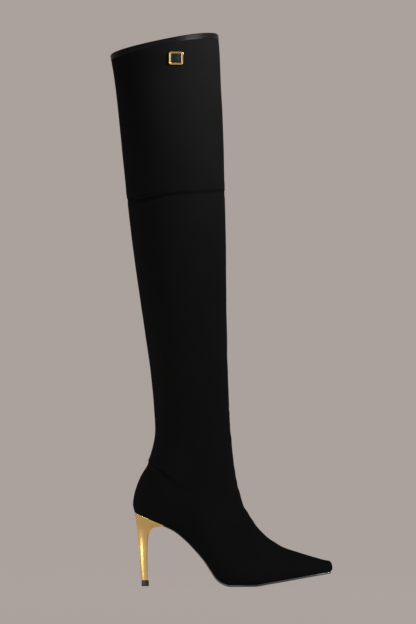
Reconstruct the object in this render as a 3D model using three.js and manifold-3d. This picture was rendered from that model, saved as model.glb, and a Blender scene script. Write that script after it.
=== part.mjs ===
// Thigh high boot for a right foot: pointed toe, slim high heel, fitted shaft, folded binding at the collar.
// Millimetres. +X points to the toe, +Y to the inner (medial) side, +Z up.
// The origin is on the floor, under the middle of the heel tip.
import * as THREE from "three";
import { mergeVertices } from "three/addons/utils/BufferGeometryUtils.js";
import Module from "manifold-3d";

// Last
const FOOT_LENGTH = 234; // heel back to toe tip, along the floor
const HEEL_SET = 13.2; // heel tip's middle, forward of the heel back
const HEEL_HEIGHT = 85; // sole at the heel back, above the floor
const TOE_SPRING = 15.2; // sole at the toe tip, above the floor
const BALL_WIDTH = 75;
const HEEL_WIDTH = 62;
const INSTEP_DEPTH = 91.5; // waist of the sole to the top of the instep
const HEEL_DEPTH = 147.3; // corner of the heel to the front of the ankle
const TOE_ROUND = 6; // length of the blunt end of the toe
const TOE_LIFT = 0.34; // height at which the blunt end draws together, as a share of its depth
const SEAT_ROUND = 25; // radius of the seat behind the heel

// Shaft, with heights above the corner of the heel, along its back
const ANKLE_HEIGHT = 97.1;
const KNEE_HEIGHT = 368.5;
const SHAFT_HEIGHT = 539.6;
const ANKLE_INSET = 24; // back of the ankle, forward of the heel back
const TOP_OVERHANG = 29.4; // back of the collar, behind the heel back
const ANKLE_DEPTH = 94.4;
const ANKLE_WIDTH = 66;
const KNEE_DEPTH = 115.7;
const KNEE_WIDTH = 104;
const TOP_DEPTH = 130.2;
const TOP_WIDTH = 112;

// Walls, layers and small pieces
const UPPER_WALL = 1.6;
const LASTING_MARGIN = 11; // upper turned in under the insole
const INSOLE_THICKNESS = 2;
const SOLE_THICKNESS = 2.4; // from the ball forwards
const WAIST_THICKNESS = 1.4; // under the waist
const SOLE_EDGE = 0.8; // sole edge that stands out beyond the upper at the forefoot
const WAIST_TUCK = 1; // sole edge that lies within the upper at the waist
const SOLE_BEVEL = 0.7;
const SEAM_DIP = 0.7; // groove at the knee seam
const SEAM_REACH = 3.5; // groove's half width
const BINDING_THICKNESS = 0.8;
const BINDING_HEIGHT = 5.5;
const BINDING_RISE = 3; // the suede draws in over this height below the binding, so that it lies flush
const SEAT_LENGTH = 34; // heel's seat, from the heel back to the end of its lip
const LIP_THICKNESS = 1.2;
const LIP_TUCK = 0.4; // heel's lip drawn in below its edge
const HEEL_END_WIDTH = 8.4;
const TIP_LENGTH = 8.5;
const TIP_WIDTH = 9.4;
const TIP_HEIGHT = 6.7;
const TIP_CORNER = 1;
const TIP_BEVEL = 0.3;
const ORNAMENT_WIDTH = 16.6;
const ORNAMENT_HEIGHT = 15.4;
const ORNAMENT_THICKNESS = 1.4;
const ORNAMENT_RIM = 2.2;
const ORNAMENT_CORNER = 2.6;
const ORNAMENT_BEVEL = 0.3;
const ORNAMENT_DROP = 22.8; // middle of the ornament, below the collar
const CLEARANCE = 0.3;

// Underside of the sole seen from the side. along: share of FOOT_LENGTH from the heel back; rise and
// spring: height as a share of HEEL_HEIGHT and of TOE_SPRING. The two rows with no height bound the flat
// under the ball.
const GROUND = [
  { along: 0, rise: 1, spring: 0 },
  { along: 0.099, rise: 0.879, spring: 0 },
  { along: 0.197, rise: 0.762, spring: 0 },
  { along: 0.259, rise: 0.627, spring: 0 },
  { along: 0.307, rise: 0.489, spring: 0 },
  { along: 0.349, rise: 0.352, spring: 0 },
  { along: 0.384, rise: 0.206, spring: 0 },
  { along: 0.408, rise: 0.107, spring: 0 },
  { along: 0.434, rise: 0.044, spring: 0 },
  { along: 0.481, rise: 0, spring: 0 },
  { along: 0.601, rise: 0, spring: 0 },
  { along: 0.678, rise: 0, spring: 0.171 },
  { along: 0.784, rise: 0, spring: 0.441 },
  { along: 0.871, rise: 0, spring: 0.668 },
  { along: 1, rise: 0, spring: 1 },
];
const FLAT_REAR = 0.481;
const FLAT_FRONT = 0.601;
const WAIST_MIDDLE = 0.3;

// Rows of a table from its columns' names and its values.
const table = (names, rows) =>
  rows.map((row) => Object.fromEntries(names.map((name, k) => [name, row[k]])));

// Sections of the foot, each standing on the sole. lean: degrees forward of upright. Depth is
// instep * INSTEP_DEPTH + heel * HEEL_DEPTH and width is ball * BALL_WIDTH + heel * HEEL_WIDTH. seat: width
// of the bottom edge; offset and crest: shift of bottom and top to the inner side, as shares of BALL_WIDTH.
// widest: height of the widest place; ridge: exponent of the top, less than 2 where it is sharp.
const FOOT_SIZES = ["along", "lean", "instep", "ball", "heel"];
const FOOT_SHAPE = ["seat", "offset", "crest", "widest", "ridge"];
const FOOT = table([...FOOT_SIZES, ...FOOT_SHAPE], [
  [0, 50.0, 0, 0, 1, 0.62, 0, 0, 0.42, 2],
  [0.027, 50.9, 0.119, 0.101, 0.87, 0.62, 0, 0, 0.41, 2],
  [0.065, 50.6, 0.282, 0.235, 0.7, 0.62, 0, 0, 0.4, 2],
  [0.117, 49.4, 0.473, 0.4, 0.5, 0.613, 0, 0.01, 0.38, 1.95],
  [0.185, 46.1, 0.69, 0.604, 0.27, 0.58, -0.007, 0.02, 0.36, 1.85],
  [0.262, 39.0, 0.879, 0.787, 0.08, 0.58, -0.02, 0.03, 0.33, 1.75],
  [0.33, 30.1, 0.972, 0.88, 0, 0.647, -0.027, 0.035, 0.3, 1.7],
  [0.382, 23.3, 0.978, 0.915, 0, 0.74, -0.02, 0.035, 0.27, 1.7],
  [0.425, 19.6, 0.973, 0.952, 0, 0.827, -0.007, 0.035, 0.25, 1.7],
  [0.481, 17.3, 0.896, 0.99, 0, 0.893, -0.005, 0.03, 0.23, 1.72],
  [0.541, 14.3, 0.768, 1, 0, 0.907, 0, 0.025, 0.22, 1.76],
  [0.601, 11.6, 0.654, 0.955, 0, 0.867, 0.01, 0.02, 0.23, 1.8],
  [0.657, 10.8, 0.545, 0.865, 0, 0.787, 0.024, 0.028, 0.25, 1.86],
  [0.734, 7.2, 0.419, 0.725, 0, 0.66, 0.044, 0.044, 0.28, 1.95],
  [0.828, 4.4, 0.306, 0.55, 0, 0.493, 0.067, 0.067, 0.32, 2.05],
  [0.914, 3.2, 0.206, 0.365, 0, 0.32, 0.084, 0.084, 0.38, 2.1],
  [0.974, -3, 0.145, 0.208, 0, 0.173, 0.093, 0.093, 0.42, 2.1],
  [1, -3, 0.122, 0.16, 0, 0.12, 0.096, 0.096, 0.42, 2.1],
]);
const TOE_START = 0.974;
const SPREAD_REACH = 0.03; // where the columns begin to spread towards the heel back

// Levels of the shaft: 0 at the corner of the heel, 1 ankle, 2 knee seam, 3 collar.
const LEVELS = [
  { level: 0, height: 0, depth: HEEL_DEPTH, width: HEEL_WIDTH },
  { level: 1, height: ANKLE_HEIGHT, depth: ANKLE_DEPTH, width: ANKLE_WIDTH },
  { level: 2, height: KNEE_HEIGHT, depth: KNEE_DEPTH, width: KNEE_WIDTH },
  { level: 3, height: SHAFT_HEIGHT, depth: TOP_DEPTH, width: TOP_WIDTH },
];
const KNEE = 2;
const COLLAR = 3;

// Sections of the shaft. lean: degrees forward of upright, 90 is level. depth: share of the levels' depth.
// The back lies forward of the heel's corner by inset * ANKLE_INSET - overhang * TOP_OVERHANG.
// widest: place of the widest line, from the back; even: how evenly the columns are spread round.
const SHAFT = [
  { level: 0, lean: 50.0, depth: 1, inset: 0, overhang: 0, widest: 0.42, even: 0.1 },
  { level: 0.1, lean: 51.5, depth: 1.035, inset: -0.088, overhang: 0, widest: 0.43, even: 0.24 },
  { level: 0.22, lean: 52.9, depth: 1.062, inset: -0.039, overhang: 0, widest: 0.44, even: 0.4 },
  { level: 0.38, lean: 54.1, depth: 1.098, inset: 0.124, overhang: 0, widest: 0.45, even: 0.6 },
  { level: 0.55, lean: 55.0, depth: 1.125, inset: 0.386, overhang: 0, widest: 0.46, even: 0.8 },
  { level: 0.75, lean: 56.1, depth: 1.12, inset: 0.752, overhang: 0, widest: 0.47, even: 0.92 },
  { level: 1, lean: 60.2, depth: 1.055, inset: 1, overhang: 0, widest: 0.48, even: 1 },
  { level: 1.15, lean: 66.6, depth: 0.999, inset: 0.97, overhang: 0.03, widest: 0.48, even: 1 },
  { level: 1.3, lean: 74.0, depth: 0.959, inset: 0.901, overhang: 0.099, widest: 0.48, even: 1 },
  { level: 1.45, lean: 78.6, depth: 0.964, inset: 0.782, overhang: 0.218, widest: 0.48, even: 1 },
  { level: 1.6, lean: 81.9, depth: 0.98, inset: 0.65, overhang: 0.35, widest: 0.48, even: 1 },
  { level: 1.8, lean: 83.9, depth: 0.999, inset: 0.489, overhang: 0.511, widest: 0.49, even: 1 },
  { level: 2, lean: 84.5, depth: 1, inset: 0.378, overhang: 0.622, widest: 0.5, even: 1 },
  { level: 2.2, lean: 83.5, depth: 1.003, inset: 0.298, overhang: 0.702, widest: 0.5, even: 1 },
  { level: 2.45, lean: 82.1, depth: 0.999, inset: 0.218, overhang: 0.782, widest: 0.5, even: 1 },
  { level: 2.7, lean: 81.4, depth: 0.99, inset: 0.139, overhang: 0.861, widest: 0.5, even: 1 },
  { level: 2.87, lean: 80.5, depth: 0.994, inset: 0.071, overhang: 0.929, widest: 0.54, even: 1 },
  { level: 3, lean: 79, depth: 1, inset: 0, overhang: 1, widest: 0.56, even: 1 },
];

// Loops of the heel, as shares of the way from the outline of its tip to the outline of its seat.
// back and rise place the back of a loop, front and lift its front, half its half width.
const HEEL = [
  { back: 0.9, rise: 0.93, front: 0.72, lift: 0.984, half: 0.82 },
  { back: 0.79, rise: 0.86, front: 0.42, lift: 0.972, half: 0.55 },
  { back: 0.68, rise: 0.77, front: 0.17, lift: 0.918, half: 0.33 },
  { back: 0.58, rise: 0.664, front: 0.04, lift: 0.828, half: 0.21 },
  { back: 0.494, rise: 0.58, front: -0.011, lift: 0.723, half: 0.15 },
  { back: 0.313, rise: 0.312, front: -0.028, lift: 0.39, half: 0.075 },
  { back: 0.084, rise: 0.061, front: -0.006, lift: 0.077, half: 0.015 },
  { back: 0, rise: 0, front: 0, lift: 0, half: 0 },
];
const HEEL_END_SHARE = 0.88; // length of the heel's lower end, of the tip's
const HEEL_CORNER = 0.3; // narrowing of a loop's front, as a share of its width

// Fineness
const SIDE_CELLS = 11;
const BOTTOM_CELLS = 3;
const HALF_CELLS = SIDE_CELLS + BOTTOM_CELLS;
const COLUMNS = 2 * HALF_CELLS;
const FOOT_RINGS = 30;
const HEEL_RINGS = 9;
const LOWER_RINGS = 8;
const THIGH_RINGS = 7;
const TOE_RINGS = 3;
const ARC_STEPS = 24;
const HEEL_CELLS = 12;
const TOE_GAP = 0.6; // last step of the blunt end, left to its tip
const MARGIN_SHARE = 0.45; // most of the bottom's half width that the lasting margin takes
const LEAST_TURN = 0.6; // sharpest fold over which a wall keeps its thickness

const wasm = await Module();
wasm.setup();

const mix = (a, b, share) => a + (b - a) * share;
const clamp = (value) => Math.min(1, Math.max(0, value));
const radians = THREE.MathUtils.degToRad;

// Value of a column between the rows of a table: a smooth curve that never overshoots its rows.
function follow(rows, key, column, at) {
  const value = typeof column === "function" ? column : (row) => row[column];
  const gap = (i) => rows[i + 1][key] - rows[i][key];
  const slope = (i) => (value(rows[i + 1]) - value(rows[i])) / gap(i);
  const tangent = (i) => {
    if (i === 0) return slope(0);
    if (i === rows.length - 1) return slope(i - 1);
    const before = slope(i - 1);
    const after = slope(i);
    if (before * after <= 0) return 0;
    const w1 = 2 * gap(i) + gap(i - 1);
    const w2 = gap(i) + 2 * gap(i - 1);
    return (w1 + w2) / (w1 / before + w2 / after);
  };
  let i = 0;
  while (i < rows.length - 2 && at > rows[i + 1][key]) i += 1;
  const t = clamp((at - rows[i][key]) / gap(i));
  return (
    (1 + 2 * t) * (1 - t) ** 2 * value(rows[i]) +
    t * (1 - t) ** 2 * gap(i) * tangent(i) +
    t * t * (3 - 2 * t) * value(rows[i + 1]) +
    t * t * (t - 1) * gap(i) * tangent(i + 1)
  );
}

// Sole line
const groundHeight = (along) =>
  follow(GROUND, "along", (row) => row.rise * HEEL_HEIGHT + row.spring * TOE_SPRING, along);

// Point at a height above the underside of the sole, square to it, as x and z.
function aboveGround(along, height) {
  const step = 0.002;
  const a = clamp(along - step);
  const b = clamp(along + step);
  const run = (b - a) * FOOT_LENGTH;
  const climb = groundHeight(b) - groundHeight(a);
  const length = Math.hypot(run, climb);
  return [
    along * FOOT_LENGTH - HEEL_SET - (climb / length) * height,
    groundHeight(along) + (run / length) * height,
  ];
}

const forwardOfWaist = (along) => clamp((along - WAIST_MIDDLE) / (FLAT_REAR - WAIST_MIDDLE));
const soleThickness = (along) => mix(WAIST_THICKNESS, SOLE_THICKNESS, forwardOfWaist(along));
const underside = (along) => aboveGround(along, soleThickness(along) + CLEARANCE);

// Half width of the bottom edge, drawn in by inset all round and rounded behind the heel.
function seatHalf(along, inset = 0) {
  const half = (follow(FOOT, "along", "seat", along) * BALL_WIDTH) / 2 - inset;
  const radius = SEAT_ROUND - inset;
  const from = clamp((along * FOOT_LENGTH - inset) / radius);
  return half * Math.sqrt(1 - (1 - from) ** 2);
}
const seatOffset = (along) => follow(FOOT, "along", "offset", along) * BALL_WIDTH;

// Half outline of a section, from the middle of its bottom to its top, as pairs of side and height.
function halfOutline(s) {
  const points = [[0, 0]];
  const low = s.widest * s.depth;
  const share = s.seat / s.half;
  const fullness = 2.15;
  for (let k = 0; k <= ARC_STEPS; k += 1) {
    const q = Math.cos((Math.PI / 2) * (k / ARC_STEPS));
    points.push([
      s.half * (1 - (1 - share ** fullness) * q ** fullness) ** (1 / fullness),
      low * (1 - q),
    ]);
  }
  for (let k = 1; k <= ARC_STEPS; k += 1) {
    const q = Math.sin((Math.PI / 2) * (k / ARC_STEPS));
    points.push([
      s.half * Math.max(0, 1 - q ** s.ridge) ** (1 / s.ridge),
      mix(low, s.depth, q),
    ]);
  }
  return points;
}

// Points of a section in space, starting at the middle of its bottom and rising on the inner side.
function sectionRing(s) {
  const outline = halfOutline(s);
  const lengths = [0];
  for (let k = 1; k < outline.length; k += 1)
    lengths.push(
      lengths[k - 1] +
        Math.hypot(outline[k][0] - outline[k - 1][0], outline[k][1] - outline[k - 1][1]),
    );
  const total = lengths[lengths.length - 1];
  const margin = Math.min(LASTING_MARGIN, MARGIN_SHARE * s.seat);
  const edge = s.seat - margin;
  const fixed = [0, edge / 2, edge, s.seat];
  const bottom = fixed.map((length, k) => mix(length, (total * k) / HALF_CELLS, s.even));
  const at = (c) =>
    c <= BOTTOM_CELLS
      ? bottom[c]
      : mix(bottom[BOTTOM_CELLS], total, (c - BOTTOM_CELLS) / SIDE_CELLS);
  const ring = [];
  for (let j = 0; j < COLUMNS; j += 1) {
    const inner = j <= HALF_CELLS;
    const length = at(inner ? j : COLUMNS - j);
    let k = 1;
    while (k < lengths.length - 1 && length > lengths[k]) k += 1;
    const t = clamp((length - lengths[k - 1]) / (lengths[k] - lengths[k - 1] || 1));
    const side = mix(outline[k - 1][0], outline[k][0], t);
    const rise = mix(outline[k - 1][1], outline[k][1], t);
    ring.push(
      new THREE.Vector3(
        s.base[0] + rise * Math.sin(s.lean),
        mix(s.offset, s.crest, rise / s.depth) + (inner ? side : -side),
        s.base[1] + rise * Math.cos(s.lean),
      ),
    );
  }
  return ring;
}

function footSection(along) {
  const value = (column) => follow(FOOT, "along", column, along);
  return {
    base: underside(along),
    lean: radians(value("lean")),
    depth: value("instep") * INSTEP_DEPTH + value("heel") * HEEL_DEPTH,
    half: (value("ball") * BALL_WIDTH + value("heel") * HEEL_WIDTH) / 2,
    seat: seatHalf(along),
    offset: seatOffset(along),
    crest: value("crest") * BALL_WIDTH,
    widest: value("widest"),
    ridge: value("ridge"),
    even: mix(SHAFT[0].even, 0, clamp(along / SPREAD_REACH)),
  };
}

const CORNER = underside(0);
const size = (column, level) => follow(LEVELS, "level", column, level);

function shaftSection(level) {
  const value = (column) => follow(SHAFT, "level", column, level);
  return {
    base: [
      CORNER[0] + value("inset") * ANKLE_INSET - value("overhang") * TOP_OVERHANG,
      CORNER[1] + size("height", level),
    ],
    lean: radians(value("lean")),
    depth: value("depth") * size("depth", level),
    half: size("width", level) / 2,
    seat: 0,
    offset: 0,
    crest: 0,
    widest: value("widest"),
    ridge: 2,
    even: value("even"),
  };
}

// Level that lies a few millimetres above or, when negative, below another one.
function levelNear(level, distance) {
  const step = 0.01;
  const rate = (size("height", level) - size("height", level - step)) / step;
  return level + distance / rate;
}

// Section drawn in all round, as the suede is along the knee seam.
function pinched(section, dip) {
  return {
    ...section,
    base: [
      section.base[0] + dip * Math.sin(section.lean),
      section.base[1] + dip * Math.cos(section.lean),
    ],
    depth: section.depth - 2 * dip,
    half: section.half - dip,
  };
}

// Blunt end of the toe: the first section drawn together in steps as it moves forward.
function toeRings() {
  const first = footSection(TOE_START);
  const fullness = 2.5;
  const rings = [];
  for (let k = TOE_RINGS; k >= 1; k -= 1) {
    const forward = Math.sin((Math.PI / 2) * (k / (TOE_RINGS + TOE_GAP)));
    const scale = (1 - forward ** fullness) ** (1 / fullness);
    rings.push(
      sectionRing({
        ...first,
        base: [
          first.base[0] + forward * TOE_ROUND,
          first.base[1] + (1 - scale) * TOE_LIFT * first.depth,
        ],
        depth: first.depth * scale,
        half: first.half * scale,
        seat: first.seat * scale,
      }),
    );
  }
  return rings;
}

// Point under the surface of a grid of rings at each of its own points, a wall's thickness inside.
function inset(grid, wall) {
  const last = grid.length - 1;
  const at = (i, j) => grid[i][(j + COLUMNS) % COLUMNS];
  const faceNormal = (i, j) => {
    const across = at(i + 1, j + 1).clone().sub(at(i, j));
    const back = at(i + 1, j).clone().sub(at(i, j + 1));
    return back.cross(across).normalize();
  };
  return grid.map((ring, i) =>
    ring.map((point, j) => {
      const faces = [];
      for (const a of [i - 1, i])
        for (const b of [j - 1, j]) if (a >= 0 && a < last) faces.push(faceNormal(a, b));
      const normal = new THREE.Vector3();
      faces.forEach((face) => normal.add(face));
      normal.normalize();
      const least = Math.min(...faces.map((face) => face.dot(normal)));
      return point.clone().addScaledVector(normal, -wall / Math.max(LEAST_TURN, least));
    }),
  );
}

// Geometry from a list of triangles' corners.
function geometryOf(corners) {
  const positions = new Float32Array(corners.length * 3);
  corners.forEach((corner, k) => corner.toArray(positions, 3 * k));
  const geometry = new THREE.BufferGeometry();
  geometry.setAttribute("position", new THREE.BufferAttribute(positions, 3));
  const merged = mergeVertices(geometry, 1e-4);
  merged.computeVertexNormals();
  return merged;
}

// Hollow solid between an outer and an inner grid of rings. tip closes the first ring, gap(i, j) leaves a
// cell open.
function shell(outer, inner, tip = null, gap = () => false) {
  const corners = [];
  const quad = (a, b, c, d) => corners.push(a, b, c, a, c, d);
  const rows = outer.length - 1;
  const open = (i, j) => i < 0 || i >= rows || gap(i, (j + COLUMNS) % COLUMNS);
  for (let i = 0; i < rows; i += 1)
    for (let j = 0; j < COLUMNS; j += 1) {
      if (open(i, j)) continue;
      const n = (j + 1) % COLUMNS;
      const cell = [
        [i, j],
        [i + 1, j],
        [i + 1, n],
        [i, n],
      ];
      const out = cell.map(([a, b]) => outer[a][b]);
      const into = cell.map(([a, b]) => inner[a][b]);
      quad(...out);
      quad(...[...into].reverse());
      const wall = (p, q) => quad(out[q], out[p], into[p], into[q]);
      if (open(i, j - 1)) wall(0, 1);
      if (open(i + 1, j)) wall(1, 2);
      if (open(i, j + 1)) wall(2, 3);
      if (i === 0 && tip) {
        corners.push(out[0], out[3], tip.outer);
        corners.push(into[3], into[0], tip.inner);
      } else if (open(i - 1, j)) wall(3, 0);
    }
  return geometryOf(corners);
}

// Closed solid through loops of equal count. Each end is closed across, from one side to the other.
function loft(loops) {
  const corners = [];
  const count = loops[0].length;
  for (let i = 0; i + 1 < loops.length; i += 1)
    for (let j = 0; j < count; j += 1) {
      const n = (j + 1) % count;
      corners.push(loops[i][j], loops[i + 1][n], loops[i + 1][j]);
      corners.push(loops[i][j], loops[i][n], loops[i + 1][n]);
    }
  const close = (loop, turned) => {
    const face = (a, b, c) => corners.push(...(turned ? [a, b, c] : [c, b, a]));
    let a = 0;
    let b = count - 1;
    while (b - a > 1) {
      face(loop[a], loop[a + 1], loop[b]);
      if (b - a > 2) face(loop[a + 1], loop[b - 1], loop[b]);
      a += 1;
      b -= 1;
    }
  };
  close(loops[0], false);
  close(loops[loops.length - 1], true);
  return geometryOf(corners);
}

const spread = (count, start, end) =>
  Array.from({ length: count + 1 }, (_, k) => mix(start, end, k / count));

// Stations along the sole, closer together towards the heel. Upper, insole and outsole share them, so that
// their facets stay parallel, and the ends of the flat under the ball are two of them.
const STATION_EASE = 1.35;
const STATION_REACH = (0.5 * STATION_EASE * TOE_START) / FOOT_RINGS;
const snapped = (along) =>
  [FLAT_REAR, FLAT_FRONT].find((flat) => Math.abs(flat - along) < STATION_REACH) ?? along;
const footShares = Array.from({ length: FOOT_RINGS + 1 }, (_, k) =>
  snapped(TOE_START * (1 - k / FOOT_RINGS) ** STATION_EASE),
);
const seamStart = levelNear(KNEE, -SEAM_REACH);
const upperGrid = [
  ...toeRings(),
  ...footShares.map((along) => sectionRing(footSection(along))),
  ...spread(HEEL_RINGS, 0, 1).slice(1).map((level) => sectionRing(shaftSection(level))),
  ...spread(LOWER_RINGS, 1, seamStart).slice(1).map((level) => sectionRing(shaftSection(level))),
  sectionRing(pinched(shaftSection(levelNear(KNEE, -CLEARANCE / 2)), SEAM_DIP)),
];
const upperInner = inset(upperGrid, UPPER_WALL);
const ringMiddle = (ring) =>
  ring.reduce((sum, point) => sum.add(point), new THREE.Vector3()).multiplyScalar(1 / ring.length);
const toeTip = ringMiddle(upperGrid[0]);
toeTip.x = underside(TOE_START)[0] + TOE_ROUND;
const toeTipInner = toeTip.clone();
toeTipInner.x -= UPPER_WALL;
const OPENING_FRONT = 0.9;
const OPENING_REAR = 0.045;
const openBelow = (i, j) => {
  const k = i - TOE_RINGS;
  const under = j < BOTTOM_CELLS - 1 || j >= COLUMNS - BOTTOM_CELLS + 1;
  if (!under || k < 0 || k >= FOOT_RINGS) return false;
  return footShares[k] < OPENING_FRONT && footShares[k + 1] > OPENING_REAR;
};
const upperGeometry = shell(upperGrid, upperInner, { outer: toeTip, inner: toeTipInner }, openBelow);

// Thigh panel, from the knee seam to the fold of the binding
const thighEnd = levelNear(COLLAR, -BINDING_THICKNESS - CLEARANCE);
const bindingFoot = levelNear(COLLAR, -BINDING_HEIGHT - BINDING_THICKNESS - 2 * CLEARANCE);
const thighTop = levelNear(bindingFoot, -BINDING_RISE);
const bindingSink = BINDING_THICKNESS + CLEARANCE;
const thighLevels = spread(THIGH_RINGS, levelNear(KNEE, SEAM_REACH), thighTop);
const thighGrid = [
  sectionRing(pinched(shaftSection(levelNear(KNEE, CLEARANCE / 2)), SEAM_DIP)),
  ...thighLevels.map((level) => sectionRing(shaftSection(level))),
  sectionRing(pinched(shaftSection(bindingFoot), bindingSink)),
  sectionRing(pinched(shaftSection(thighEnd), bindingSink)),
];
const thighInner = inset(thighGrid, UPPER_WALL);
const thighGeometry = shell(thighGrid, thighInner);

// Collar binding: a strip folded over the edge of the thigh panel, as a ring of profiles
function bindingProfiles() {
  const edge = thighGrid[thighGrid.length - 1];
  const below = thighGrid[thighGrid.length - 2];
  const lining = thighInner[thighInner.length - 1];
  const t = BINDING_THICKNESS;
  const profile = [
    [t, -BINDING_HEIGHT],
    [0, -BINDING_HEIGHT],
    [0, CLEARANCE],
    [-1, CLEARANCE],
    [-1, -BINDING_HEIGHT],
    [-1 - t, -BINDING_HEIGHT],
    [-1 - t, CLEARANCE + 0.45 * t],
    [-1 - 0.55 * t, CLEARANCE + t],
    [0.55 * t, CLEARANCE + t],
    [t, CLEARANCE + 0.45 * t],
  ];
  return edge.map((point, j) => {
    const rise = point.clone().sub(below[j]).normalize();
    const out = point.clone().sub(lining[j]);
    out.addScaledVector(rise, -out.dot(rise));
    const wall = out.length();
    out.normalize();
    return profile.map(([side, height]) => {
      const within = side < 0 ? -wall - CLEARANCE + (side + 1) : CLEARANCE + side;
      return point.clone().addScaledVector(out, within).addScaledVector(rise, height);
    });
  });
}

function ringOfProfiles(profiles) {
  const corners = [];
  profiles.forEach((profile, i) => {
    const next = profiles[(i + 1) % profiles.length];
    profile.forEach((point, j) => {
      const n = (j + 1) % profile.length;
      corners.push(point, next[n], profile[n]);
      corners.push(point, next[j], next[n]);
    });
  });
  return geometryOf(corners);
}
const bindingGeometry = ringOfProfiles(bindingProfiles());

// Outsole, from the lip of the heel to the toe
const breast = SEAT_LENGTH / FOOT_LENGTH;
const SOLE_END = 0.991;
const SOLE_END_REACH = 0.006; // length over which the sole's front end narrows
const SOLE_END_WIDTH = 0.75;
const STATION_GAP = 0.01; // least way from a layer's rear end to its first station
function outsoleLoop(along, narrow = 1) {
  const thickness = soleThickness(along);
  const edge = mix(-WAIST_TUCK, SOLE_EDGE, forwardOfWaist(along));
  const half = (seatHalf(along) + edge) * narrow;
  const middle = seatOffset(along);
  const top = aboveGround(along, thickness);
  const side = aboveGround(along, SOLE_BEVEL * 0.6);
  const low = aboveGround(along, 0);
  const point = ([x, z], y) => new THREE.Vector3(x, middle + y, z);
  return [
    point(low, half - SOLE_BEVEL),
    point(side, half),
    point(top, half),
    point(top, -half),
    point(side, -half),
    point(low, SOLE_BEVEL - half),
  ];
}
const soleRear = breast + CLEARANCE / FOOT_LENGTH;
const ownStations = footShares.filter((along) => along > soleRear + STATION_GAP).reverse();
const outsoleGeometry = loft([
  outsoleLoop(soleRear),
  ...ownStations.map((along) => outsoleLoop(along)),
  outsoleLoop(SOLE_END - SOLE_END_REACH),
  outsoleLoop(SOLE_END, SOLE_END_WIDTH),
]);

// Insole, on the margin of the upper
function insoleLoop(along) {
  const half = seatHalf(along, UPPER_WALL + 3 * CLEARANCE);
  const middle = seatOffset(along);
  const low = aboveGround(along, soleThickness(along) + 2 * CLEARANCE + UPPER_WALL);
  const top = aboveGround(along, soleThickness(along) + 2 * CLEARANCE + UPPER_WALL + INSOLE_THICKNESS);
  const point = ([x, z], y) => new THREE.Vector3(x, middle + y, z);
  return [point(low, half), point(top, half), point(top, -half), point(low, -half)];
}
const INSOLE_END = 0.95;
const insoleRear = (UPPER_WALL + 5 * CLEARANCE) / FOOT_LENGTH;
const insoleStations = footShares.filter(
  (along) => along > insoleRear + 0.4 * STATION_GAP && along < INSOLE_END,
);
const insoleGeometry = loft([insoleRear, ...insoleStations.reverse()].map(insoleLoop));

// Heel
const tipBack = -TIP_LENGTH / 2;
const tipFront = tipBack + TIP_LENGTH * HEEL_END_SHARE;
const heelFoot = TIP_HEIGHT + CLEARANCE;
const heelArc = Array.from({ length: HEEL_CELLS + 1 }, (_, k) => (Math.PI / 2) * (k / HEEL_CELLS));

// Loop from the back over the inner side to the front, and back over the outer side.
function heelLoop(place) {
  const inner = heelArc.map((angle) => place(1 - Math.cos(angle), Math.sin(angle)));
  const outer = inner.slice(1).map((point) => new THREE.Vector3(point.x, -point.y, point.z));
  return [...inner, ...outer.reverse()];
}

const seatLoop = (depth, inward) =>
  heelLoop((share) => {
    const along = share * breast;
    const [x, z] = aboveGround(along, WAIST_THICKNESS - depth);
    return new THREE.Vector3(x, Math.max(0, seatHalf(along) - inward * share), z);
  });

const seatBack = aboveGround(0, WAIST_THICKNESS);
const seatFront = aboveGround(breast, 0);
const heelGeometry = loft([
  seatLoop(0, 0),
  seatLoop(LIP_THICKNESS, LIP_TUCK),
  ...HEEL.map((row) =>
    heelLoop((share, side) => {
      const back = [mix(tipBack, seatBack[0], row.back), mix(heelFoot, seatBack[1], row.rise)];
      const front = [mix(tipFront, seatFront[0], row.front), mix(heelFoot, seatFront[1], row.lift)];
      const half = mix(HEEL_END_WIDTH / 2, seatHalf(breast), row.half);
      const corner = 1 - HEEL_CORNER * share ** 8;
      return new THREE.Vector3(
        mix(back[0], front[0], share),
        half * side * corner,
        mix(back[1], front[1], share),
      );
    }),
  ),
]);

// Heel tip: a flat-fronted half round
function tipShape(length, width) {
  const shape = new THREE.Shape();
  const radius = width / 2;
  shape.moveTo(tipBack + radius, -radius);
  const front = tipBack + length;
  shape.lineTo(front - TIP_CORNER, -radius);
  shape.quadraticCurveTo(front, -radius, front, TIP_CORNER - radius);
  shape.lineTo(front, radius - TIP_CORNER);
  shape.quadraticCurveTo(front, radius, front - TIP_CORNER, radius);
  shape.lineTo(tipBack + radius, radius);
  shape.absarc(tipBack + radius, 0, radius, Math.PI / 2, (3 * Math.PI) / 2, false);
  return shape;
}
const tipGeometry = new THREE.ExtrudeGeometry(tipShape(TIP_LENGTH, TIP_WIDTH), {
  depth: TIP_HEIGHT - 2 * TIP_BEVEL,
  bevelEnabled: true,
  bevelThickness: TIP_BEVEL,
  bevelSize: TIP_BEVEL,
  bevelOffset: -TIP_BEVEL,
  bevelSegments: 1,
  curveSegments: 8,
});
tipGeometry.translate(0, 0, TIP_BEVEL);

// Ornament: a plain plate with a raised rim
function roundedPlate(width, height, corner) {
  const shape = new THREE.Shape();
  const x = width / 2;
  const y = height / 2;
  shape.moveTo(-x + corner, -y);
  shape.lineTo(x - corner, -y);
  shape.absarc(x - corner, -y + corner, corner, -Math.PI / 2, 0, false);
  shape.lineTo(x, y - corner);
  shape.absarc(x - corner, y - corner, corner, 0, Math.PI / 2, false);
  shape.lineTo(-x + corner, y);
  shape.absarc(-x + corner, y - corner, corner, Math.PI / 2, Math.PI, false);
  shape.lineTo(-x, -y + corner);
  shape.absarc(-x + corner, -y + corner, corner, Math.PI, (3 * Math.PI) / 2, false);
  return shape;
}

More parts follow.
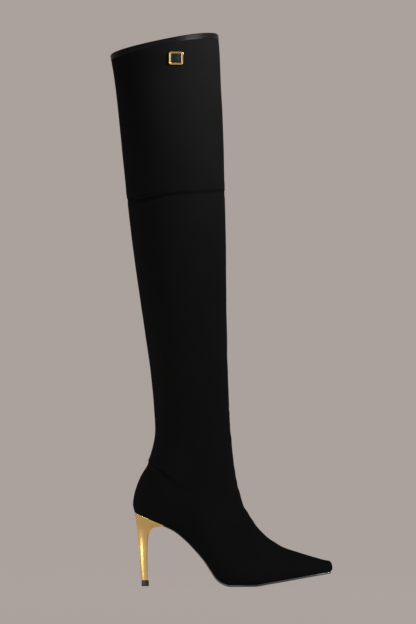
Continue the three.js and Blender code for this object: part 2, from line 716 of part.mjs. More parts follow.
function solidOf(geometry) {
  const bare = geometry.index ? geometry.toNonIndexed() : geometry.clone();
  bare.deleteAttribute("normal");
  bare.deleteAttribute("uv");
  const merged = mergeVertices(bare, 1e-4);
  return new wasm.Manifold(
    new wasm.Mesh({
      numProp: 3,
      vertProperties: merged.attributes.position.array,
      triVerts: new Uint32Array(merged.index.array),
    }),
  );
}

function ornamentGeometry() {
  const plate = new THREE.ExtrudeGeometry(roundedPlate(ORNAMENT_WIDTH, ORNAMENT_HEIGHT, ORNAMENT_CORNER), {
    depth: ORNAMENT_THICKNESS - 2 * ORNAMENT_BEVEL,
    bevelEnabled: true,
    bevelThickness: ORNAMENT_BEVEL,
    bevelSize: ORNAMENT_BEVEL,
    bevelOffset: -ORNAMENT_BEVEL,
    bevelSegments: 2,
    curveSegments: 4,
  });
  plate.translate(0, 0, ORNAMENT_BEVEL);
  const field = new THREE.ExtrudeGeometry(
    roundedPlate(ORNAMENT_WIDTH - 2 * ORNAMENT_RIM, ORNAMENT_HEIGHT - 2 * ORNAMENT_RIM, ORNAMENT_CORNER / 2),
    { bevelEnabled: false, curveSegments: 4, depth: ORNAMENT_THICKNESS },
  );
  field.translate(0, 0, ORNAMENT_THICKNESS / 2);
  const cut = solidOf(plate).subtract(solidOf(field)).getMesh();
  const geometry = new THREE.BufferGeometry();
  geometry.setAttribute("position", new THREE.BufferAttribute(cut.vertProperties, 3));
  geometry.setIndex(new THREE.BufferAttribute(cut.triVerts, 1));
  geometry.computeVertexNormals();
  return geometry;
}

// Place on the outer side of the shaft: a point of the surface and the way out of it.
function outerSide(level, forward) {
  const place = (at, share) => {
    const s = shaftSection(at);
    const rise = mix(s.widest * s.depth, s.depth, share);
    return new THREE.Vector3(
      s.base[0] + rise * Math.sin(s.lean),
      -s.half * Math.sqrt(1 - share * share),
      s.base[1] + rise * Math.cos(s.lean),
    );
  };
  const step = 0.01;
  const point = place(level, forward);
  const along = place(level, forward + step).sub(point);
  const up = place(level + step, forward).sub(point);
  return { point, out: along.cross(up).normalize() };
}

const ORNAMENT_FORWARD = 0.114; // forward of the widest line, as a share of the front half
const seat = outerSide(levelNear(COLLAR, -ORNAMENT_DROP), ORNAMENT_FORWARD);
const ornament = new THREE.Group();
const outward = seat.out;
const upward = new THREE.Vector3(0, 0, 1).addScaledVector(outward, -outward.z).normalize();
const sideways = upward.clone().cross(outward);
ornament.setRotationFromMatrix(new THREE.Matrix4().makeBasis(sideways, upward, outward));
ornament.position.copy(seat.point).addScaledVector(outward, CLEARANCE);

// Assembly
const suede = () => new THREE.MeshStandardMaterial({ color: 0x0d0d0e, roughness: 0.95, metalness: 0 });
const leather = () => new THREE.MeshStandardMaterial({ color: 0x161618, roughness: 0.3, metalness: 0 });
const soleMaterial = () => new THREE.MeshStandardMaterial({ color: 0x141415, roughness: 0.45, metalness: 0 });
const gold = () => new THREE.MeshStandardMaterial({ color: 0xc8a055, roughness: 0.28, metalness: 1 });
const rubber = () => new THREE.MeshStandardMaterial({ color: 0x1b1c20, roughness: 0.6, metalness: 0 });
const board = () => new THREE.MeshStandardMaterial({ color: 0x1d1b1a, roughness: 0.8, metalness: 0 });

const boot = new THREE.Group();
function add(name, geometry, material, parent = boot) {
  const mesh = new THREE.Mesh(geometry, material);
  mesh.name = name;
  parent.add(mesh);
}

add("upper", upperGeometry, suede());
add("thigh_panel", thighGeometry, suede());
add("collar_binding", bindingGeometry, leather());
add("outsole", outsoleGeometry, soleMaterial());
add("insole", insoleGeometry, board());
add("heel", heelGeometry, gold());
add("heel_tip", tipGeometry, rubber());
boot.add(ornament);
add("ornament", ornamentGeometry(), gold(), ornament);

export default boot;
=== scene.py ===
import math

import bmesh
import bpy
from bpy.props import FloatProperty, FloatVectorProperty, IntProperty, PointerProperty
from bpy.types import Operator, Panel, PropertyGroup
from mathutils import Matrix, Vector, noise


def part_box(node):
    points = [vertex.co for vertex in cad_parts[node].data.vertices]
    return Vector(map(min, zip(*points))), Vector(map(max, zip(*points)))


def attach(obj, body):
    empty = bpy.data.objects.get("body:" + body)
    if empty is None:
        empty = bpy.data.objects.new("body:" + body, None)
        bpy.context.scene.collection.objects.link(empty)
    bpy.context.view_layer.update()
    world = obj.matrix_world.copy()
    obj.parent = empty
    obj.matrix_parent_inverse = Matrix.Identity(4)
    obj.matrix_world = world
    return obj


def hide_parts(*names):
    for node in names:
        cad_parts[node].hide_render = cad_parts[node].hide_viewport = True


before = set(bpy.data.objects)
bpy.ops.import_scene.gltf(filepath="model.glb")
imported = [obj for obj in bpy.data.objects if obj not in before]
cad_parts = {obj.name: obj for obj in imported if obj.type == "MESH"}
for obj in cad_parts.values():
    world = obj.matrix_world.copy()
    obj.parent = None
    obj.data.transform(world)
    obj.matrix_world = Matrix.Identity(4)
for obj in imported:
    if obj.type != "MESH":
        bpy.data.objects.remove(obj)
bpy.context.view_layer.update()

bl_info = {
    "name": "Thigh high boot",
    "version": (1, 0, 0),
    "blender": (4, 5, 0),
    "location": "3D View > Sidebar > Boot",
    "description": "Suede thigh high boot for a right foot, with a pointed toe and a slim gold heel",
    "category": "Object",
}

# Metres. +X points to the toe, +Y to the inner side of the foot, +Z up.
# The origin is on the floor, under the middle of the heel tip.

# Last
FOOT_LENGTH = 0.234
HEEL_SET = 0.0132
HEEL_HEIGHT = 0.085
TOE_SPRING = 0.0152
BALL_WIDTH = 0.075
HEEL_WIDTH = 0.062
INSTEP_DEPTH = 0.0915
HEEL_DEPTH = 0.1473
TOE_ROUND = 0.006
SEAT_ROUND = 0.025

# Shaft, with heights above the corner of the heel, along its back
ANKLE_HEIGHT = 0.0971
KNEE_HEIGHT = 0.3685
SHAFT_HEIGHT = 0.5396
ANKLE_INSET = 0.024
TOP_OVERHANG = 0.0294
ANKLE_DEPTH = 0.0944
ANKLE_WIDTH = 0.066
KNEE_DEPTH = 0.1157
KNEE_WIDTH = 0.104
TOP_DEPTH = 0.1302
TOP_WIDTH = 0.112

# Walls and layers
UPPER_WALL = 0.0016
LASTING_MARGIN = 0.011
INSOLE_THICKNESS = 0.002
SOLE_THICKNESS = 0.0024
WAIST_THICKNESS = 0.0014
SOLE_EDGE = 0.0008
WAIST_TUCK = 0.001
SEAT_LENGTH = 0.034
LIP_THICKNESS = 0.0012
LIP_TUCK = 0.0004
KNEE_HANG = 0.0042
LIP_RINGS = ((LIP_THICKNESS, LIP_TUCK), (0.3 * LIP_THICKNESS, 0.0001), (0.12 * LIP_THICKNESS, 0.0), (0.0, 0.0004))
HEEL_END_WIDTH = 0.0084
ORNAMENT_DROP = 0.0228
ORNAMENT_FORWARD = 0.114
CLEARANCE = 0.0003

GROUND_COLUMNS = ("along", "rise", "spring")
GROUND = (
    (0, 1, 0),
    (0.099, 0.879, 0),
    (0.197, 0.762, 0),
    (0.259, 0.627, 0),
    (0.307, 0.489, 0),
    (0.349, 0.352, 0),
    (0.384, 0.206, 0),
    (0.408, 0.107, 0),
    (0.434, 0.044, 0),
    (0.481, 0, 0),
    (0.601, 0, 0),
    (0.678, 0, 0.171),
    (0.784, 0, 0.441),
    (0.871, 0, 0.668),
    (1, 0, 1),
)
WAIST_MIDDLE = 0.3
FLAT_REAR = 0.481

# Sections of the foot, each standing on the sole and leaning forward by some degrees. Depth is
# instep * INSTEP_DEPTH + heel * HEEL_DEPTH and width is ball * BALL_WIDTH + heel * HEEL_WIDTH.
FOOT_COLUMNS = ("along", "lean", "instep", "ball", "heel", "seat", "offset", "crest", "widest", "ridge")
FOOT = (
    (0, 50.0, 0, 0, 1, 0.62, 0, 0, 0.42, 2),
    (0.027, 50.9, 0.119, 0.101, 0.87, 0.62, 0, 0, 0.41, 2),
    (0.065, 50.6, 0.282, 0.235, 0.7, 0.62, 0, 0, 0.4, 2),
    (0.117, 49.4, 0.473, 0.4, 0.5, 0.613, 0, 0.01, 0.38, 1.95),
    (0.185, 46.1, 0.69, 0.604, 0.27, 0.58, -0.007, 0.02, 0.36, 1.85),
    (0.262, 39.0, 0.879, 0.787, 0.08, 0.58, -0.02, 0.03, 0.33, 1.75),
    (0.33, 30.1, 0.972, 0.88, 0, 0.647, -0.027, 0.035, 0.3, 1.7),
    (0.382, 23.3, 0.978, 0.915, 0, 0.74, -0.02, 0.035, 0.27, 1.7),
    (0.425, 19.6, 0.973, 0.952, 0, 0.827, -0.007, 0.035, 0.25, 1.7),
    (0.481, 17.3, 0.896, 0.99, 0, 0.893, -0.005, 0.03, 0.23, 1.72),
    (0.541, 14.3, 0.768, 1, 0, 0.907, 0, 0.025, 0.22, 1.76),
    (0.601, 11.6, 0.654, 0.955, 0, 0.867, 0.01, 0.02, 0.23, 1.8),
    (0.657, 10.8, 0.545, 0.865, 0, 0.787, 0.024, 0.028, 0.25, 1.86),
    (0.734, 7.2, 0.419, 0.725, 0, 0.66, 0.044, 0.044, 0.28, 1.95),
    (0.828, 4.4, 0.306, 0.55, 0, 0.493, 0.067, 0.067, 0.32, 2.05),
    (0.914, 3.2, 0.206, 0.365, 0, 0.32, 0.084, 0.084, 0.38, 2.1),
    (0.974, -3, 0.145, 0.208, 0, 0.173, 0.093, 0.093, 0.42, 2.1),
    (1, -3, 0.122, 0.16, 0, 0.12, 0.096, 0.096, 0.42, 2.1),
)
TOE_START = 0.974
SPREAD_REACH = 0.03

# Levels of the shaft: 0 at the corner of the heel, 1 ankle, 2 knee seam, 3 collar.
LEVEL_COLUMNS = ("level", "height", "depth", "width")
LEVELS = (
    (0, 0, HEEL_DEPTH, HEEL_WIDTH),
    (1, ANKLE_HEIGHT, ANKLE_DEPTH, ANKLE_WIDTH),
    (2, KNEE_HEIGHT, KNEE_DEPTH, KNEE_WIDTH),
    (3, SHAFT_HEIGHT, TOP_DEPTH, TOP_WIDTH),
)
KNEE = 2
COLLAR = 3

# Sections of the shaft. The back lies forward of the heel's corner by inset * ANKLE_INSET - overhang *
# TOP_OVERHANG. Even is how evenly the columns are spread round.
SHAFT_COLUMNS = ("level", "lean", "depth", "inset", "overhang", "widest", "even")
SHAFT = (
    (0, 50.0, 1, 0, 0, 0.42, 0.1),
    (0.1, 51.5, 1.035, -0.088, 0, 0.43, 0.24),
    (0.22, 52.9, 1.062, -0.039, 0, 0.44, 0.4),
    (0.38, 54.1, 1.098, 0.124, 0, 0.45, 0.6),
    (0.55, 55.0, 1.125, 0.386, 0, 0.46, 0.8),
    (0.75, 56.1, 1.12, 0.752, 0, 0.47, 0.92),
    (1, 60.2, 1.055, 1, 0, 0.48, 1),
    (1.15, 66.6, 0.999, 0.97, 0.03, 0.48, 1),
    (1.3, 74.0, 0.959, 0.901, 0.099, 0.48, 1),
    (1.45, 78.6, 0.964, 0.782, 0.218, 0.48, 1),
    (1.6, 81.9, 0.98, 0.65, 0.35, 0.48, 1),
    (1.8, 83.9, 0.999, 0.489, 0.511, 0.49, 1),
    (2, 84.5, 1, 0.378, 0.622, 0.5, 1),
    (2.2, 83.5, 1.003, 0.298, 0.702, 0.5, 1),
    (2.45, 82.1, 0.999, 0.218, 0.782, 0.5, 1),
    (2.7, 81.4, 0.99, 0.139, 0.861, 0.5, 1),
    (2.87, 80.5, 0.994, 0.071, 0.929, 0.54, 1),
    (3, 79, 1, 0, 1, 0.56, 1),
)

# Loops of the heel from its lower end (0) to its seat (1), as shares of the way between their outlines.
HEEL_COLUMNS = ("step", "back", "rise", "front", "lift", "half")
HEEL = (
    (0, 0, 0, 0, 0, 0),
    (0.11, 0.084, 0.061, -0.006, 0.077, 0.015),
    (0.33, 0.313, 0.312, -0.028, 0.39, 0.075),
    (0.52, 0.494, 0.58, -0.011, 0.723, 0.15),
    (0.6, 0.58, 0.664, 0.04, 0.828, 0.21),
    (0.7, 0.68, 0.77, 0.17, 0.918, 0.33),
    (0.8, 0.79, 0.86, 0.42, 0.972, 0.55),
    (0.9, 0.9, 0.93, 0.72, 0.984, 0.82),
    (1, 1, 1, 1, 1, 1),
)
HEEL_END_SHARE = 0.88

# Fineness
SIDE_CELLS = 46
BOTTOM_CELLS = 9
HALF_CELLS = SIDE_CELLS + BOTTOM_CELLS
COLUMNS = 2 * HALF_CELLS
SEAM_PLACES = (0.0, 0.0005, 0.0011, 0.0019)
FOOT_RINGS = 120
HEEL_RINGS = 40
LOWER_RINGS = 90
THIGH_RINGS = 60
TOE_RINGS = 12
SEAM_RINGS = 14
ARC_STEPS = 60


def mix(a, b, share):
    return a + (b - a) * share


def clamp(value, low=0.0, high=1.0):
    return min(high, max(low, value))


def smooth(low, high, value):
    share = clamp((value - low) / (high - low))
    return share * share * (3 - 2 * share)


def spread(count, start, end):
    return [mix(start, end, k / count) for k in range(count + 1)]


class Table:
    """Rows with named columns, read between the rows as a smooth curve that never overshoots them."""

    def __init__(self, names, rows):
        self.columns = {name: [row[k] for row in rows] for k, name in enumerate(names)}
        self.keys = self.columns[names[0]]

    def read(self, name, at):
        keys, values = self.keys, self.columns[name]
        last = len(keys) - 1
        gaps = [keys[k + 1] - keys[k] for k in range(last)]
        slopes = [(values[k + 1] - values[k]) / gaps[k] for k in range(last)]

        def tangent(k):
            if k == 0:
                return slopes[0]
            if k == last:
                return slopes[-1]
            before, after = slopes[k - 1], slopes[k]
            if before * after <= 0:
                return 0
            first, second = 2 * gaps[k] + gaps[k - 1], gaps[k] + 2 * gaps[k - 1]
            return (first + second) / (first / before + second / after)

        k = 0
        while k < last - 1 and at > keys[k + 1]:
            k += 1
        t = clamp((at - keys[k]) / gaps[k])
        return (
            (1 + 2 * t) * (1 - t) ** 2 * values[k]
            + t * (1 - t) ** 2 * gaps[k] * tangent(k)
            + t * t * (3 - 2 * t) * values[k + 1]
            + t * t * (t - 1) * gaps[k] * tangent(k + 1)
        )


ground = Table(GROUND_COLUMNS, GROUND)
foot = Table(FOOT_COLUMNS, FOOT)
levels = Table(LEVEL_COLUMNS, LEVELS)
shaft = Table(SHAFT_COLUMNS, SHAFT)
heel_loops = Table(HEEL_COLUMNS, HEEL)


def ground_height(along):
    return ground.read("rise", along) * HEEL_HEIGHT + ground.read("spring", along) * TOE_SPRING


def above_ground(along, height):
    """Point at a height above the underside of the sole, square to it, as x and z."""
    step = 0.002
    low, high = clamp(along - step), clamp(along + step)
    run = (high - low) * FOOT_LENGTH
    climb = ground_height(high) - ground_height(low)
    length = math.hypot(run, climb)
    return (
        along * FOOT_LENGTH - HEEL_SET - climb / length * height,
        ground_height(along) + run / length * height,
    )


def forward_of_waist(along):
    return clamp((along - WAIST_MIDDLE) / (FLAT_REAR - WAIST_MIDDLE))


def sole_thickness(along):
    return mix(WAIST_THICKNESS, SOLE_THICKNESS, forward_of_waist(along))


def underside(along):
    return above_ground(along, sole_thickness(along) + CLEARANCE)


def seat_half(along, inset=0.0):
    """Half width of the bottom edge, drawn in by inset all round and rounded behind the heel."""
    half = foot.read("seat", along) * BALL_WIDTH / 2 - inset
    start = clamp((along * FOOT_LENGTH - inset) / (SEAT_ROUND - inset))
    return half * math.sqrt(1 - (1 - start) ** 2)


def seat_offset(along):
    return foot.read("offset", along) * BALL_WIDTH


def half_outline(s):
    """Half outline of a section, from the middle of its bottom to its top, as pairs of side and height."""
    points = [(0.0, 0.0)]
    low = s["widest"] * s["depth"]
    share = s["seat"] / s["half"]
    fullness = 2.15
    for k in range(ARC_STEPS + 1):
        q = math.cos(math.pi / 2 * k / ARC_STEPS)
        side = s["half"] * (1 - (1 - share**fullness) * q**fullness) ** (1 / fullness)
        points.append((side, low * (1 - q)))
    for k in range(1, ARC_STEPS + 1):
        q = math.sin(math.pi / 2 * k / ARC_STEPS)
        side = s["half"] * max(0.0, 1 - q ** s["ridge"]) ** (1 / s["ridge"])
        points.append((side, mix(low, s["depth"], q)))
    return points


def along_line(points, places):
    """Points of a polyline at the given lengths from its start."""
    lengths = [0.0]
    for a, b in zip(points, points[1:]):
        lengths.append(lengths[-1] + math.dist(a, b))
    found = []
    k = 1
    for place in places:
        while k < len(points) - 1 and place > lengths[k]:
            k += 1
        share = clamp((place - lengths[k - 1]) / (lengths[k] - lengths[k - 1] or 1))
        found.append(tuple(mix(a, b, share) for a, b in zip(points[k - 1], points[k])))
    return found


def line_length(points):
    return sum(math.dist(a, b) for a, b in zip(points, points[1:]))


def half_places(s, total):
    """Lengths along a half outline at which its columns stand, close together at the back and front seams."""
    margin = min(LASTING_MARGIN, 0.45 * s["seat"])
    edge = s["seat"] - margin
    inner_cells = BOTTOM_CELLS - 3
    fixed = [edge * k / inner_cells for k in range(inner_cells + 1)]
    fixed += [edge + margin * (k + 1) / 3 for k in range(3)]
    places = [mix(length, total * k / HALF_CELLS, s["even"]) for k, length in enumerate(fixed)]
    places += [mix(places[-1], total, k / SIDE_CELLS) for k in range(1, SIDE_CELLS + 1)]
    last = len(places) - 1
    for k, place in enumerate(SEAM_PLACES):
        near = min(place, 0.02 * total * k)
        places[last - k] = total - near
        places[k] = mix(places[k], near, s["even"])
    return places


def section_ring(s):
    """Points of a section in space, starting at the middle of its bottom and rising on the inner side."""
    outline = half_outline(s)
    half = along_line(outline, half_places(s, line_length(outline)))
    lean = s["lean"]

    def point(side, rise):
        middle = mix(s["offset"], s["crest"], rise / s["depth"])
        return Vector((s["base"][0] + rise * math.sin(lean), middle + side, s["base"][1] + rise * math.cos(lean)))

    inner = [point(side, rise) for side, rise in half]
    outer = [point(-side, rise) for side, rise in half[-2:0:-1]]
    return inner + outer


def foot_section(along):
    heel = foot.read("heel", along)
    return {
        "base": underside(along),
        "lean": math.radians(foot.read("lean", along)),
        "depth": foot.read("instep", along) * INSTEP_DEPTH + heel * HEEL_DEPTH,
        "half": (foot.read("ball", along) * BALL_WIDTH + heel * HEEL_WIDTH) / 2,
        "seat": seat_half(along),
        "offset": seat_offset(along),
        "crest": foot.read("crest", along) * BALL_WIDTH,
        "widest": foot.read("widest", along),
        "ridge": foot.read("ridge", along),
        "even": mix(shaft.read("even", 0), 0, clamp(along / SPREAD_REACH)),
    }


CORNER = underside(0)


def shaft_section(level):
    back = shaft.read("inset", level) * ANKLE_INSET - shaft.read("overhang", level) * TOP_OVERHANG
    return {
        "base": (CORNER[0] + back, CORNER[1] + levels.read("height", level)),
        "lean": math.radians(shaft.read("lean", level)),
        "depth": shaft.read("depth", level) * levels.read("depth", level),
        "half": levels.read("width", level) / 2,
        "seat": 0.0,
        "offset": 0.0,
        "crest": 0.0,
        "widest": shaft.read("widest", level),
        "ridge": 2,
        "even": shaft.read("even", level),
    }


def level_near(level, distance):
    """Level that lies a distance above or, when negative, below another one."""
    step = 0.01
    rate = (levels.read("height", level) - levels.read("height", level - step)) / step
    return level + distance / rate


def toe_sections():
    """Blunt end of the toe: the first section drawn together in steps as it moves forward."""
    first = foot_section(TOE_START)
    fullness = 2.5
    found = []
    for k in range(TOE_RINGS, 0, -1):
        forward = math.sin(math.pi / 2 * k / (TOE_RINGS + 0.6))
        scale = (1 - forward**fullness) ** (1 / fullness)
        base = (first["base"][0] + forward * TOE_ROUND, first["base"][1] + (1 - scale) * 0.34 * first["depth"])
        sizes = {name: first[name] * scale for name in ("depth", "half", "seat")}
        found.append({**first, **sizes, "base": base})
    return found


class Sweep:
    """A bmesh that grows ring after ring from one circle. Each vertex knows its ring and its column."""

    def __init__(self, points):
        self.bm = bmesh.new()
        self.column = self.bm.verts.layers.int.new("column")
        self.ring = self.bm.verts.layers.int.new("ring")
        made = bmesh.ops.create_circle(self.bm, segments=len(points), radius=1, cap_ends=False)
        for k, v in enumerate(made["verts"]):
            v[self.column] = k
            v.co = points[k]
        self.first = list(self.bm.edges)
        self.last = list(self.bm.edges)
        self.count = 0

    def grow(self, points):
        made = bmesh.ops.extrude_edge_only(self.bm, edges=self.last)["geom"]
        fresh = {e for e in made if isinstance(e, bmesh.types.BMVert)}
        self.count += 1
        for v in fresh:
            v[self.ring] = self.count
            v.co = points[v[self.column]]
        self.last = [e for e in made if isinstance(e, bmesh.types.BMEdge) and set(e.verts) <= fresh]
        return self

    def cap(self, edges, crown=None):
        """Closes a ring with a fan, its middle at crown where one is given."""
        made = bmesh.ops.contextual_create(self.bm, geom=edges)["faces"]
        middle = bmesh.ops.poke(self.bm, faces=made)["verts"][0]
        if crown is not None:
            middle.co = crown
        return self

    def join_ends(self):
        """Joins the last ring to the first, where both stand in the same place."""
        bmesh.ops.remove_doubles(self.bm, verts=self.bm.verts, dist=1e-6)
        return self


def swept(rings):
    sweep = Sweep(rings[0])
    for ring in rings[1:]:
        sweep.grow(ring)
    return sweep


def face_outwards(bm):
    """Turns all faces the same way, and outwards by the volume that they hold, open ends or not."""
    bmesh.ops.recalc_face_normals(bm, faces=bm.faces)
    bm.normal_update()
    middle = sum((v.co for v in bm.verts), Vector()) / len(bm.verts)
    volume = sum(f.normal.dot(f.calc_center_median() - middle) * f.calc_area() for f in bm.faces)
    if volume < 0:
        bmesh.ops.reverse_faces(bm, faces=bm.faces)
        bm.normal_update()


def finish_piece(bm, name, node, finishes, recalculate=True):
    """Object from a finished bmesh: smooth, facing outwards, riding on the one body and standing for its node."""
    if recalculate:
        face_outwards(bm)
    for face in bm.faces:
        face.smooth = True
    mesh = bpy.data.meshes.new(name)
    bm.to_mesh(mesh)
    bm.free()
    piece = bpy.data.objects.new(name, mesh)
    bpy.context.scene.collection.objects.link(piece)
    for finish in finishes:
        mesh.materials.append(finish)
    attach(piece, "root")
    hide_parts(node)
    return piece


def add_wall(piece, thickness):
    """Gives a skin its wall, with the lining as the second finish."""
    wall = piece.modifiers.new("wall", "SOLIDIFY")
    wall.thickness = thickness
    wall.offset = -1
    wall.use_even_offset = True
    wall.thickness_clamp = 0
    wall.material_offset = 1
    wall.material_offset_rim = 0


# Relief of the suede, as outward moves of the skin


def knee_distance(point):
    """Distance above the knee seam, and the share of the way from back to front."""
    s = shaft_section(KNEE)
    lean = s["lean"]
    x, z = point.x - s["base"][0], point.z - s["base"][1]
    return z * math.sin(lean) - x * math.cos(lean), clamp(x / (s["depth"] * math.sin(lean)))


def knee_bow(share, rise=smooth):
    """How far the seam's trough hangs below the plane of the section, from back to front."""
    hang = rise(0.0, 0.12, share) * KNEE_HANG
    return hang - rise(0.15, 0.5, share) * (0.5 * KNEE_HANG) - rise(0.8, 1.0, share) * (0.25 * KNEE_HANG)


def knee_relief(point, sizes):
    """Ledge of the knee seam, with small puckers: the panel's edge over a dip that runs out below it."""
    above, front = knee_distance(point)
    above += knee_bow(front)
    if abs(above) > 0.03:
        return 0.0
    reach = mix(1.6 * sizes.seam_reach, 2.6 * sizes.seam_reach, smooth(0.25, 0.8, front))
    dip = sizes.seam_dip * (0.55 + 1.0 * smooth(0.0, 0.25, front) * (1 - smooth(0.6, 0.95, front)))
    if above > 0:
        groove = -dip * (1 - smooth(0, 0.0018, above))
    else:
        groove = -dip * (1 - smooth(0.3 * reach, reach, -above))
    swell = 0.3 * sizes.seam_dip * math.exp(-(((above - 0.008) / 0.004) ** 2))
    turn = math.atan2(point.y, point.x - 0.04)
    wander = noise.noise(Vector((turn * 7, 0.3, above * 60)))
    pucker = math.sin(turn * 46 + 2.4 * wander) * math.exp(-((above / 0.0045) ** 2))
    strength = sizes.pucker * (0.35 + 0.65 * smooth(0.45, 0.95, front))
    return groove + swell + pucker * strength


COUNTER_LINE = ((-0.002, 0.1505), (0.0045, 0.1445), (0.021, 0.1325), (0.036, 0.1205), (0.047, 0.1145), (0.058, 0.1125))


def line_offset(x, z, line):
    """Signed distance from a line in the side view, positive below it, and the share of the way along it."""
    best = (1e9, 0.0, 0.0)
    for k, (a, b) in enumerate(zip(line, line[1:])):
        dx, dz = b[0] - a[0], b[1] - a[1]
        share = clamp(((x - a[0]) * dx + (z - a[1]) * dz) / (dx * dx + dz * dz))
        off = math.hypot(x - a[0] - share * dx, z - a[1] - share * dz)
        side = 1 if dz * (x - a[0]) - dx * (z - a[1]) > 0 else -1
        best = min(best, (off, side * off, (k + share) / (len(line) - 1)))
    return best[1], best[2]


def counter_relief(point, sizes):
    """Line over the counter, where the suede falls in and swells out again below."""
    below, share = line_offset(point.x, point.z, COUNTER_LINE)
    if abs(below) > 0.03:
        return 0.0
    fall = smooth(-0.0012, 0.0012, below) * (1 - smooth(0.002, 0.02, below))
    brow = smooth(-0.012, -0.002, below) * (1 - smooth(-0.0012, 0.0006, below))
    strength = smooth(0.0, 0.25, share) * (1 - smooth(0.65, 1, share))
    return sizes.counter_dip * (0.3 * brow - fall) * strength


ANKLE_CREASE = ((0.016, 0.187), (0.024, 0.1845), (0.033, 0.185))


def ankle_relief(point, sizes):
    off, share = line_offset(point.x, point.z, ANKLE_CREASE)
    if abs(off) > 0.012:
        return 0.0
    return -sizes.crease_dip * math.exp(-((off / 0.003) ** 2)) * math.sin(math.pi * share)


def hand_relief(point):
    """Slow unevenness of stretched suede."""
    return 0.00012 * noise.noise(point * 34) + 0.00005 * noise.noise(point * 95)


def seam_relief(column, sizes):
    """Back and front seams, down the middle columns."""
    depth = (1.0, 0.55, 0.12)
    near = min(column, COLUMNS - column, abs(column - HALF_CELLS))
    return -sizes.long_seam_dip * depth[near] if near < len(depth) else 0.0


def collar_relief(point, sizes):
    """The suede drawn in under the binding, so that the binding lies flush with it."""
    s = shaft_section(COLLAR)
    lean = s["lean"]
    below = (point.x - s["base"][0]) * math.cos(lean) - (point.z - s["base"][1]) * math.sin(lean)
    if below > 0.02:
        return 0.0
    return -sizes.binding_sink * (1 - smooth(sizes.binding_height - 0.0006, sizes.binding_height + 0.0024, below))


def press(sweep, sizes):
    """Moves the skin along its normals by its relief."""
    face_outwards(sweep.bm)
    moves = []
    for v in sweep.bm.verts:
        move = knee_relief(v.co, sizes) + counter_relief(v.co, sizes) + ankle_relief(v.co, sizes)
        move += collar_relief(v.co, sizes)
        moves.append((v, v.normal * (move + hand_relief(v.co) + seam_relief(v[sweep.column], sizes))))
    for v, move in moves:
        v.co += move


# Shader maths


class Socket:
    """An output socket whose arithmetic adds Math nodes to its tree."""

    def __init__(self, finish, link):
        self.finish = finish
        self.link = link

    def math(self, operation, *values):
        return self.finish.node("ShaderNodeMath", {"operation": operation}, dict(enumerate(values)))

    def __add__(self, other):
        return self.math("ADD", self, other)

    def __mul__(self, other):
        return self.math("MULTIPLY", self, other)

    def __sub__(self, other):
        return self.math("SUBTRACT", self, other)

    def __abs__(self):
        return self.math("ABSOLUTE", self)

    __radd__ = __add__
    __rmul__ = __mul__

    def smooth(self, low, high):
        return self.finish.node(
            "ShaderNodeMapRange",
            {"interpolation_type": "SMOOTHSTEP"},
            {"Value": self, "From Min": low, "From Max": high, "To Min": 0.0, "To Max": 1.0},
        )


class Finish:
    """A material under construction: one surface shader and the nodes that feed it."""

    def __init__(self, name, **constants):
        self.material = bpy.data.materials.new(name)
        self.material.use_nodes = True
        self.tree = self.material.node_tree
        self.shader = next(n for n in self.tree.nodes if n.type == "BSDF_PRINCIPLED")
        self.feed(**constants)

    def node(self, kind, settings=None, inputs=None, output=0):
        made = self.tree.nodes.new(kind)
        for name, value in (settings or {}).items():
            setattr(made, name, value)
        for name, value in (inputs or {}).items():
            self.put(made.inputs[name], value)
        return Socket(self, made.outputs[output])

    def put(self, socket, value):
        if isinstance(value, Socket):
            self.tree.links.new(value.link, socket)
        else:
            socket.default_value = value

    def feed(self, **inputs):
        for name, value in inputs.items():
            self.put(self.shader.inputs[name.replace("_", " ")], value)
        return self

    @property
    def place(self):
        return self.node("ShaderNodeTexCoord", output="Object")

    def stretched(self, x, y, z):
        return self.node("ShaderNodeVectorMath", {"operation": "MULTIPLY"}, {0: self.place, 1: (x, y, z)})

    def along(self, way):
        """Distance from the origin along a direction."""
        return self.node("ShaderNodeVectorMath", {"operation": "DOT_PRODUCT"}, {0: self.place, 1: way}, output=1)

    def above(self, base, lean):
        """Distance above the plane of a section of the shaft."""
        rise = (-math.cos(lean), 0, math.sin(lean))
        return self.along(rise) - (base[1] * rise[2] + base[0] * rise[0])

    def cloud(self, scale, detail=2.0, roughness=0.5, vector=None):
        inputs = {"Vector": vector or self.place, "Scale": scale, "Detail": detail, "Roughness": roughness}
        return self.node("ShaderNodeTexNoise", {}, inputs)

    def blend(self, share, first, second):
        """Mix of two colours."""
        settings = {"data_type": "RGBA", "clamp_factor": True}
        return self.node("ShaderNodeMix", settings, {0: share, 6: first, 7: second}, output=2)

    def bump(self, height, distance, strength=1.0, normal=None):
        inputs = {"Height": height, "Distance": distance, "Strength": strength}
        if normal is not None:
            inputs["Normal"] = normal
        return self.node("ShaderNodeBump", {}, inputs)


def shade(colour, factor):
    return (*[clamp(c * factor) for c in colour[:3]], 1.0)


